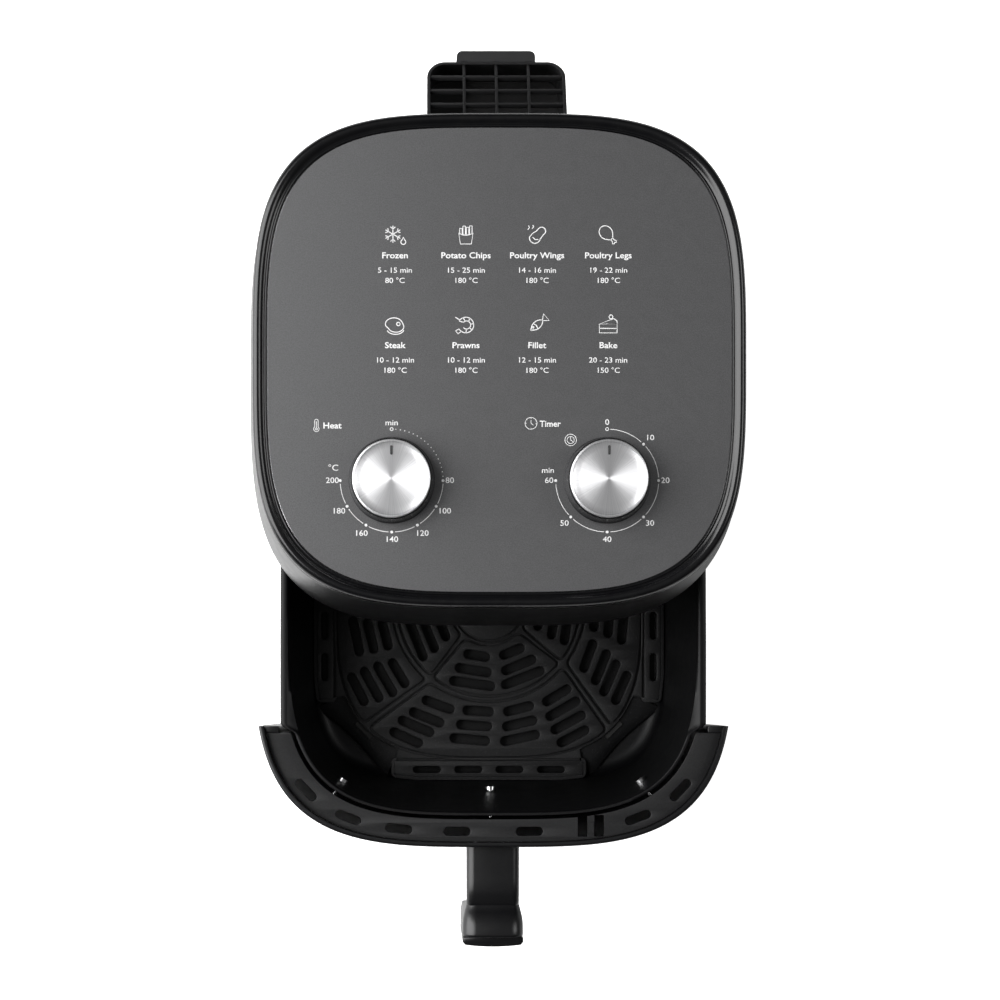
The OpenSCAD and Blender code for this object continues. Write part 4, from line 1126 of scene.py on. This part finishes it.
def lettering(text, x, y, tall, bold=0.02, align="CENTER", wide=1.12):
    """Prints text with capitals of that height in millimetres, centred on x and y from the middle."""
    font = bpy.data.curves.new("lettering", "FONT")
    font.body, font.align_x, font.align_y = text, align, "CENTER"
    font.size, font.extrude, font.offset = tall / CAP_SHARE * MM, INK_T / 2 * MM, bold * MM
    font.resolution_u = 3
    obj = bpy.data.objects.new("lettering", font)
    bpy.context.scene.collection.objects.link(obj)
    obj = bake(obj)
    obj.data.transform(shift_matrix(x, y + MID_Y, INK_Z) @ Matrix.Diagonal((wide, 1, 1, 1)))
    ink_parts.append(weld(obj, 0.002))


def ink_lines():
    """A tree that gives every curve a flat, wide section."""
    tree, start = new_tree("ink_lines", {"Width": FLOAT, "Thickness": FLOAT})
    level_curve = add(tree, "GeometryNodeSetCurveNormal", {"Curve": start["Geometry"]},
                      mode="Z_UP").outputs[0]
    outline = add(tree, "GeometryNodeCurvePrimitiveQuadrilateral",
                  {"Width": start["Width"], "Height": start["Thickness"]}).outputs[0]
    ribbon = add(tree, "GeometryNodeCurveToMesh",
                 {"Curve": level_curve, "Profile Curve": outline, "Fill Caps": True}).outputs[0]
    finish_tree(tree, start, ribbon)
    return tree


def scale_dots():
    """A tree that sets round dots at even angles along an arc."""
    sizes = {"Radius": FLOAT, "Start": FLOAT, "Sweep": FLOAT, "Count": WHOLE, "Dot": FLOAT,
             "Thickness": FLOAT}
    tree, start = new_tree("scale_dots", sizes)
    arc = add(tree, "GeometryNodeCurveArc", {"Resolution": start["Count"], "Radius": start["Radius"],
              "Start Angle": start["Start"], "Sweep Angle": start["Sweep"]}).outputs["Curve"]
    points = add(tree, "GeometryNodeCurveToPoints", {"Curve": arc}, mode="EVALUATED").outputs["Points"]
    dot = add(tree, "GeometryNodeMeshCylinder", {"Vertices": 20, "Radius": start["Dot"],
              "Depth": start["Thickness"]}).outputs["Mesh"]
    dots = add(tree, "GeometryNodeInstanceOnPoints", {"Points": points, "Instance": dot})
    finish_tree(tree, start, dots.outputs[0])
    return tree


LINES, DOTS = ink_lines(), scale_dots()


def drawn(strokes, width, x=0.0, y=0.0, closed=()):
    """Prints lines: each stroke is a list of points in millimetres."""
    curve = bpy.data.curves.new("strokes", "CURVE")
    curve.dimensions = "3D"
    for k, stroke in enumerate(strokes):
        stroke = np.asarray(stroke, float)
        spline = curve.splines.new("POLY")
        spline.points.add(len(stroke) - 1)
        place = (stroke + (x, y + MID_Y)) * MM
        co = np.column_stack([place, np.full(len(stroke), INK_Z * MM), np.ones(len(stroke))])
        spline.points.foreach_set("co", co.ravel())
        spline.use_cyclic_u = k in closed or np.allclose(stroke[0], stroke[-1])
    obj = bpy.data.objects.new("strokes", curve)
    bpy.context.scene.collection.objects.link(obj)
    values = {"Width": width * MM, "Thickness": INK_T * MM, "Material": ink}
    ink_parts.append(grown("strokes", LINES, values, obj))


def dotted(middle, radius, start, sweep, count, dot):
    """Prints dots on an arc. Angles are degrees anticlockwise from +X."""
    values = {"Radius": radius * MM, "Start": math.radians(start), "Sweep": math.radians(sweep),
              "Count": count, "Dot": dot * MM, "Thickness": INK_T * MM, "Material": ink}
    obj = grown("dots", DOTS, values)
    obj.data.transform(shift_matrix(middle[0], middle[1], INK_Z))
    ink_parts.append(obj)


def arc(cx, cy, r, a0=0.0, a1=360.0, squash=1.0, count=28):
    """Points of an arc. A whole circle closes on itself."""
    t = np.radians(np.linspace(a0, a1, count))
    return np.column_stack([cx + r * np.cos(t), cy + r * squash * np.sin(t)])


# %% [markdown]
# ### Dial scales
# A scale is arcs between dots, with a number outside each dot. Dial makers count clockwise from the
# top, so every mark here is a clock angle and one function turns it to a place on the sheet.

# %% Dial scales
SCALE_R, DOT_R, LINE_W = 29.6, 0.82, 0.36
DIGIT = 3.3
DOT_GAP = 3.6


def scale_arc(middle, clock0, clock1):
    """A printed arc between two clock angles, in degrees clockwise from the top."""
    drawn([arc(0, 0, SCALE_R, 90 - clock0, 90 - clock1)], LINE_W, middle[0], middle[1] - MID_Y)


def clock_point(middle, clock, r):
    """The place at a clock angle and a radius, from the sheet's middle."""
    a = math.radians(90 - clock)
    return middle[0] + r * math.cos(a), middle[1] - MID_Y + r * math.sin(a)


def scale(middle, marks, first, start_gap):
    """Marks are pairs of clock angle and number. first says where the solid arcs begin."""
    for (a, _), (b, _) in zip(marks, marks[1:]):
        if a >= first:
            scale_arc(middle, a + (start_gap if a == 0 else DOT_GAP), b - DOT_GAP)
    step = marks[-1][0] - marks[-2][0]
    solid = [mark for mark in marks if mark[0] > 0]
    dotted(middle, SCALE_R, 90 - solid[0][0], -(solid[-1][0] - solid[0][0]), len(solid), DOT_R)
    drawn([arc(0, 0, 0.85)], 0.42, *clock_point(middle, 0, SCALE_R))
    for clock, number in solid:
        wide = 1.35 * len(number) / 2 + 1.1
        a = math.radians(clock)
        reach = SCALE_R + 1.4 + abs(math.sin(a)) * wide + abs(math.cos(a)) * 2.9
        lettering(number, *clock_point(middle, clock, reach), DIGIT)
    print("scale with", len(marks), "marks,", step, "degrees apart")


heat_mid, time_mid = dial_mids["temperature"], dial_mids["timer"]
scale(heat_mid, [(0, "")] + [(90 + 30 * k, str(80 + 20 * k)) for k in range(7)], 90, 0)
dotted(heat_mid, SCALE_R, 85.3, -80.5, 17, 0.3)
lettering("min", *clock_point(heat_mid, 0, SCALE_R + 3.6), 3.3)
lettering("°C", heat_mid[0] - SCALE_R - 4.0, heat_mid[1] - MID_Y + 7.2, 3.6)
scale(time_mid, [(45 * k, str(10 * k) if k else "") for k in range(7)], 0, DOT_GAP)
lettering("0", *clock_point(time_mid, 0, SCALE_R + 3.9), DIGIT)
lettering("min", time_mid[0] - SCALE_R - 4.5, time_mid[1] - MID_Y + 5.8, 3.2)


# %% Signs beside the dials
SIGN_LINE = 0.34


def clock_sign(x, y, r, inner):
    """A clock face with two hands, and either an inner circle or four ticks."""
    hands = [[(0, 0), (0, r * 0.55)], [(0, 0), (r * 0.42, -r * 0.3)]]
    ways = [np.array([math.cos(a), math.sin(a)]) for a in np.radians(range(0, 360, 90))]
    ticks = [[way * r * 0.78, way * r * 0.92] for way in ways]
    drawn([arc(0, 0, r)] + hands + ([arc(0, 0, r * 0.62)] if inner else ticks), SIGN_LINE, x, y)


glass = np.vstack([arc(0, 2.4, 1.0, 0, 180, count=9), arc(0, -2.2, 1.55, 130, 410, count=20)])
bulb_sign = [glass, arc(0, -2.2, 0.55), [(0, -1.6), (0, 2.2)]]
drawn(bulb_sign, SIGN_LINE, -105.3, -37.6, closed=(0,))
clock_sign(18.2, -36.6, 3.4, False)
clock_sign(*clock_point(time_mid, -42, SCALE_R + 1.8), 3.3, True)
lettering("Heat", -101.6, -38.0, 3.5, 0.08, "LEFT")
lettering("Timer", 23.2, -37.0, 3.5, 0.08, "LEFT", 1.0)
print(len(ink_parts), "groups of ink so far")

# %% [markdown]
# ### Cooking signs
# Eight small line drawings show what each setting cooks. Each function gives a list of strokes in
# millimetres about the sign's middle, and says which of them close into a loop. A few arcs and
# corners are enough for each, because a line only 0.5 mm wide hides anything finer.

# %% Cooking signs
def turn(points, degrees):
    """Points turned anticlockwise about the sign's middle."""
    a = math.radians(degrees)
    return np.asarray(points, float) @ np.array([[math.cos(a), math.sin(a)], [-math.sin(a), math.cos(a)]])


def frost():
    arms = [turn([(0, 0), (0, 5)], 60 * k) for k in range(6)]
    arms += [turn([(-1.4, 4.3), (0, 2.9), (1.4, 4.3)], 60 * k) for k in range(6)]
    drop = np.vstack([[(4.9, -1.2)], arc(4.9, -4.0, 1.45, 60, -240, count=16)])
    return [arm + (-1.2, 0.6) for arm in arms] + [drop], (12,)


def chips():
    box = [(-4.2, 1.2), (-3.2, -5.2), (3.2, -5.2), (4.2, 1.2), (2.0, 0.2), (0, 0), (-2.0, 0.2)]
    sticks = [[(x - 0.75, 0.4), (x - 0.75, top), (x + 0.75, top), (x + 0.75, 0.4)]
              for x, top in ((-2.9, 3.9), (-1.0, 5.3), (1.0, 4.6), (2.9, 5.4))]
    return [box] + sticks, (0,)


def wing():
    body = np.vstack([arc(-1.2, -1.6, 3.2, 170, 350, count=16), arc(2.8, 2.4, 2.3, -60, 130, count=12),
                      [(-0.6, 2.2), (-2.4, 1.2)]])
    return [body, [(-2.6, -1.2), (-1.0, -2.6), (0.8, -2.6)], [(-5.4, 3.2), (-4.4, 4.4), (-5.0, 5.6)],
            [(-2.8, 3.8), (-1.9, 5.0), (-2.5, 6.0)]], (0,)


def leg():
    meat = turn(np.vstack([arc(0, 2.0, 3.7, -35, 215, 1.15, 24), [(-0.9, -3.0), (0.9, -3.0)]]), 42)
    bone = turn([(-0.8, -3.0), (-0.8, -4.6), (-1.5, -5.6), (-0.6, -6.3), (0, -5.7), (0.6, -6.3), (1.5, -5.6),
                 (0.8, -4.6), (0.8, -3.0)], 42)
    return [meat, bone], (0,)


def steak():
    cutlet = np.vstack([arc(-0.6, 0.6, 5.0, 20, 200, 0.72, 20), arc(0.6, -1.0, 4.6, 200, 380, 0.7, 20)])
    side = arc(0.3, -2.4, 5.0, 195, 350, 0.62, 18)
    return [cutlet, side, arc(2.0, 0.6, 1.0)], (0,)


def prawn():
    back, belly = arc(0, 0, 4.6, 150, -150, 1.0, 28), arc(0.4, 0, 2.4, 140, -140, 1.0, 22)
    rings = [[(4.6 * math.cos(a), 4.6 * math.sin(a)), (0.4 + 2.4 * math.cos(a), 2.4 * math.sin(a))]
             for a in np.radians((-90, -40, 10, 60, 110))]
    tail = [(-4.0, -2.3), (-6.0, -3.4), (-4.6, -5.2), (-2.4, -3.4)]
    return [back, belly, tail, [(-4.0, 2.3), (-1.4, 1.6)], [(-3.6, 3.0), (-6.2, 4.6)]] + rings, ()


def fish():
    body = np.vstack([arc(0, -3.4, 5.6, 148, 36, 1.0, 16), arc(0, 3.4, 5.6, -36, -148, 1.0, 16)])
    tail = [(4.4, 0.3), (7.2, 2.6), (7.2, -2.6), (4.4, -0.3)]
    eye, gill = arc(-2.6, 0.4, 0.45), [(-1.0, 1.8), (-0.4, 0), (-1.0, -1.8)]
    return [turn(stroke, 40) for stroke in (body, tail, eye, gill)], (0,)


def cake():
    slice_top = [(-5.2, 0.6), (3.2, 3.8), (5.2, 2.4), (5.2, 0.6)]
    return [slice_top, [(-5.2, 0.6), (5.2, 0.6), (5.2, -4.6), (-5.2, -4.6)], [(-5.2, -2.0), (5.2, -2.0)],
            arc(1.6, 4.8, 1.1)], (0, 1)


MARK_X = (-60.1, -19.3, 21.6, 62.6)
MARK_LINE, MARK_SIZE = 0.5, 0.98
WORD_DROP, TIME_DROP, HEAT_DROP = 10.8, 19.3, 25.2
ROWS = [(70.7, [(frost, "Frozen", "5 - 15 min", "80 °C"), (chips, "Potato Chips", "15 - 25 min", "180 °C"),
                (wing, "Poultry Wings", "14 - 16 min", "180 °C"),
                (leg, "Poultry Legs", "19 - 22 min", "180 °C")]),
        (19.0, [(steak, "Steak", "10 - 12 min", "180 °C"), (prawn, "Prawns", "10 - 12 min", "180 °C"),
                (fish, "Fillet", "12 - 15 min", "180 °C"), (cake, "Bake", "20 - 23 min", "150 °C")])]
for top, row in ROWS:
    for x, (sign, word, minutes, heat) in zip(MARK_X, row):
        strokes, closed = sign()
        drawn([np.asarray(stroke) * MARK_SIZE for stroke in strokes], MARK_LINE, x, top + 1.0, closed)
        lettering(word, x, top - WORD_DROP, 3.5, 0.08)
        lettering(minutes, x, top - TIME_DROP, 3.1)
        lettering(heat, x, top - HEAT_DROP, 3.1)

marks = join("printed_marks", ink_parts)
print("printed marks", len(marks.data.polygons), "faces")


# %% [markdown]
# ## Finishes on every piece
# New pieces take their material first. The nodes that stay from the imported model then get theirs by
# material slot, so each hidden part has its own finish too.

# %% Dress the new pieces
def dress(obj, *materials):
    """Gives an object these materials and no others."""
    obj.data.materials.clear()
    for material in materials:
        obj.data.materials.append(material)


dress(shell, satin)
dress(top_frame, gloss)
dress(panel, sheet, edge_metal)
for face_ in panel.data.polygons:
    face_.material_index = int(0.05 < face_.normal.z < 0.98)
for side in dial_mids:
    dress(skirts[side], gloss)
    dress(discs[side], spun_aluminium(side + "_spun_disc", dial_mids[side]))
for piece in (hood, grille):
    dress(piece, vent_material)
dress(pan, coating)
dress(front_shell, satin)
dress(rim_frame, sparked)
dress(plate, cast_coating)
for piece in (arm, grip):
    dress(piece, satin)
dress(cover, gloss)
dress(marks, ink)
print("panel edge", sum(polygon.material_index for polygon in panel.data.polygons), "bright faces")

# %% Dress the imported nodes
finish_of = {
    "shell_plastic": satin, "bezel_plastic": gloss, "panel_metal": sheet, "inner_plastic": sparked,
    "rubber": rubber, "vent_plastic": vent_material, "galvanised": zinc, "reflector": aluminium,
    "element_tube": hot_tube, "bright_steel": steel, "laminations": stampings, "bronze": bronze,
    "copper": copper, "ceramic": cream, "wire_cover": wire_red, "dial_plastic": gloss,
    "dial_metal": edge_metal, "pointer_ink": groove_paint, "non_stick": coating,
    "frame_plastic": sparked, "handle_plastic": satin}
slot_of = {part["node"]: part["material_slot"] for part in frame["record"]["subparts"]}
for node, slot in slot_of.items():
    obj = bpy.data.objects[node]
    for k in range(len(obj.material_slots)):
        obj.material_slots[k].material = finish_of[slot]
    if not obj.material_slots:
        obj.data.materials.append(finish_of[slot])
print(len(slot_of), "packed nodes dressed")


# %% [markdown]
# ## Bodies and slots
# Every new piece rides on the body that carries it, stands for the node it replaces and names the
# record's slot it takes its finish from.

# %% Bodies and slots
PIECES = [
    (shell, "housing", ["outer_shell"], "shell_plastic"),
    (top_frame, "housing", ["top_bezel"], "bezel_plastic"),
    (panel, "housing", ["control_panel"], "panel_metal"),
    (marks, "housing", [], "panel_metal"),
    (hood, "housing", ["rear_vent_hood"], "vent_plastic"),
    (grille, "housing", [], "vent_plastic"),
    (skirts["temperature"], "temperature_dial", ["temperature_skirt"], "dial_plastic"),
    (discs["temperature"], "temperature_dial", ["temperature_cap"], "dial_metal"),
    (skirts["timer"], "timer_dial", ["timer_skirt"], "dial_plastic"),
    (discs["timer"], "timer_dial", ["timer_cap"], "dial_metal"),
    (pan, "drawer", ["basket"], "non_stick"),
    (front_shell, "drawer", ["drawer_front"], "shell_plastic"),
    (rim_frame, "drawer", ["drawer_rim_frame"], "frame_plastic"),
    (arm, "drawer", ["handle_arm"], "handle_plastic"),
    (grip, "drawer", ["handle_grip"], "handle_plastic"),
    (cover, "drawer", ["handle_cover"], "bezel_plastic"),
    (plate, "crisper", ["crisper_plate"], "non_stick"),
]
for piece, body, nodes, slot in PIECES:
    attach(piece, body)
    if nodes:
        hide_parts(*nodes)


# %% [markdown]
# ## Floor, light and camera
# The fryer stands on a white floor under soft light. The floor glows only towards the camera, so it
# is pure white and still throws little light up into the black parts. The sky is dim near the horizon
# and brighter overhead, and one large lamp on the left models the round edges.

# %% Floor
FLOOR_HALF, FLOOR_DROP = 6000, -0.2
corners = [(x * FLOOR_HALF, y * FLOOR_HALF, FLOOR_DROP) for x, y in ((-1, -1), (1, -1), (1, 1), (-1, 1))]
floor = make_mesh("floor", corners, [(0, 1, 2, 3)])
floor_mat, floor_tree, floor_shader, floor_where = new_material(
    "white_floor", "#f6f6f6", 0.7, Emission_Color=(0.9, 0.9, 0.9, 1))
cloud = add(floor_tree, "ShaderNodeTexNoise", {"Vector": floor_where, "Scale": 3.0})
tint(floor_tree, floor_shader, cloud.outputs["Fac"], "#f4f4f4", "#f8f8f8")
seen = add(floor_tree, "ShaderNodeLightPath").outputs["Is Camera Ray"]
floor_tree.links.new(seen, floor_shader.inputs["Emission Strength"])
dress(floor, floor_mat)
print("floor", 2 * FLOOR_HALF * MM, "m square")

# %% Sky
world = bpy.data.worlds.new("studio_sky")
bpy.context.scene.world = world
world.use_nodes = True
sky = world.node_tree
background = sky.nodes["Background"]
direction = add(sky, "ShaderNodeTexCoord").outputs["Generated"]
height = add(sky, "ShaderNodeSeparateXYZ", {0: direction}).outputs["Z"]
sky_grey = add(sky, "ShaderNodeValToRGB", {"Fac": height})
# Each step is the height of the direction, from level to straight up, and the grey there.
SKY_STEPS = [(0.0, 0.05), (0.3, 0.06), (0.75, 0.1), (1.0, 0.22)]
elements = sky_grey.color_ramp.elements
for position, _ in SKY_STEPS[1:-1]:
    elements.new(position)
for element, (position, grey) in zip(elements, SKY_STEPS):
    element.position = position
    element.color = (grey, grey, grey, 1)
sky.links.new(sky_grey.outputs[0], background.inputs["Color"])
background.inputs["Strength"].default_value = 1.0
print("sky greys", [round(element.color[0], 3) for element in elements])

# %% Lamps
def soft_lamp(name, place, aim, size, power):
    """An area lamp in metres that points at aim."""
    data = bpy.data.lights.new(name, "AREA")
    data.shape, data.size, data.size_y, data.energy = "RECTANGLE", size[0], size[1], power
    lamp = bpy.data.objects.new(name, data)
    bpy.context.scene.collection.objects.link(lamp)
    lamp.location = place
    lamp.rotation_euler = (Vector(aim) - Vector(place)).to_track_quat("-Z", "Y").to_euler()


AIM = (0, 0.05, 0.3)
soft_lamp("left_lamp", (-1.5, 0.2, 1.25), AIM, (1.8, 2.6), 105)
soft_lamp("right_lamp", (1.6, 0.2, 1.6), AIM, (0.9, 1.0), 13)
print("lamps aim at", AIM)

# %% Camera
camera_data = bpy.data.cameras.new("camera")
camera = bpy.data.objects.new("camera", camera_data)
bpy.context.scene.collection.objects.link(camera)
bpy.context.scene.camera = camera
camera_data.lens, camera_data.sensor_width = 95.2, 36.0
camera_data.clip_start, camera_data.clip_end = 0.05, 30.0
camera_data.shift_x, camera_data.shift_y = 0.0788, 0.19
camera.location = (-0.045, -0.112, 1.825)
bpy.context.scene.view_settings.view_transform = "Standard"
print("camera", round(camera.location.z, 3), "m above the floor,", camera_data.lens, "mm lens")
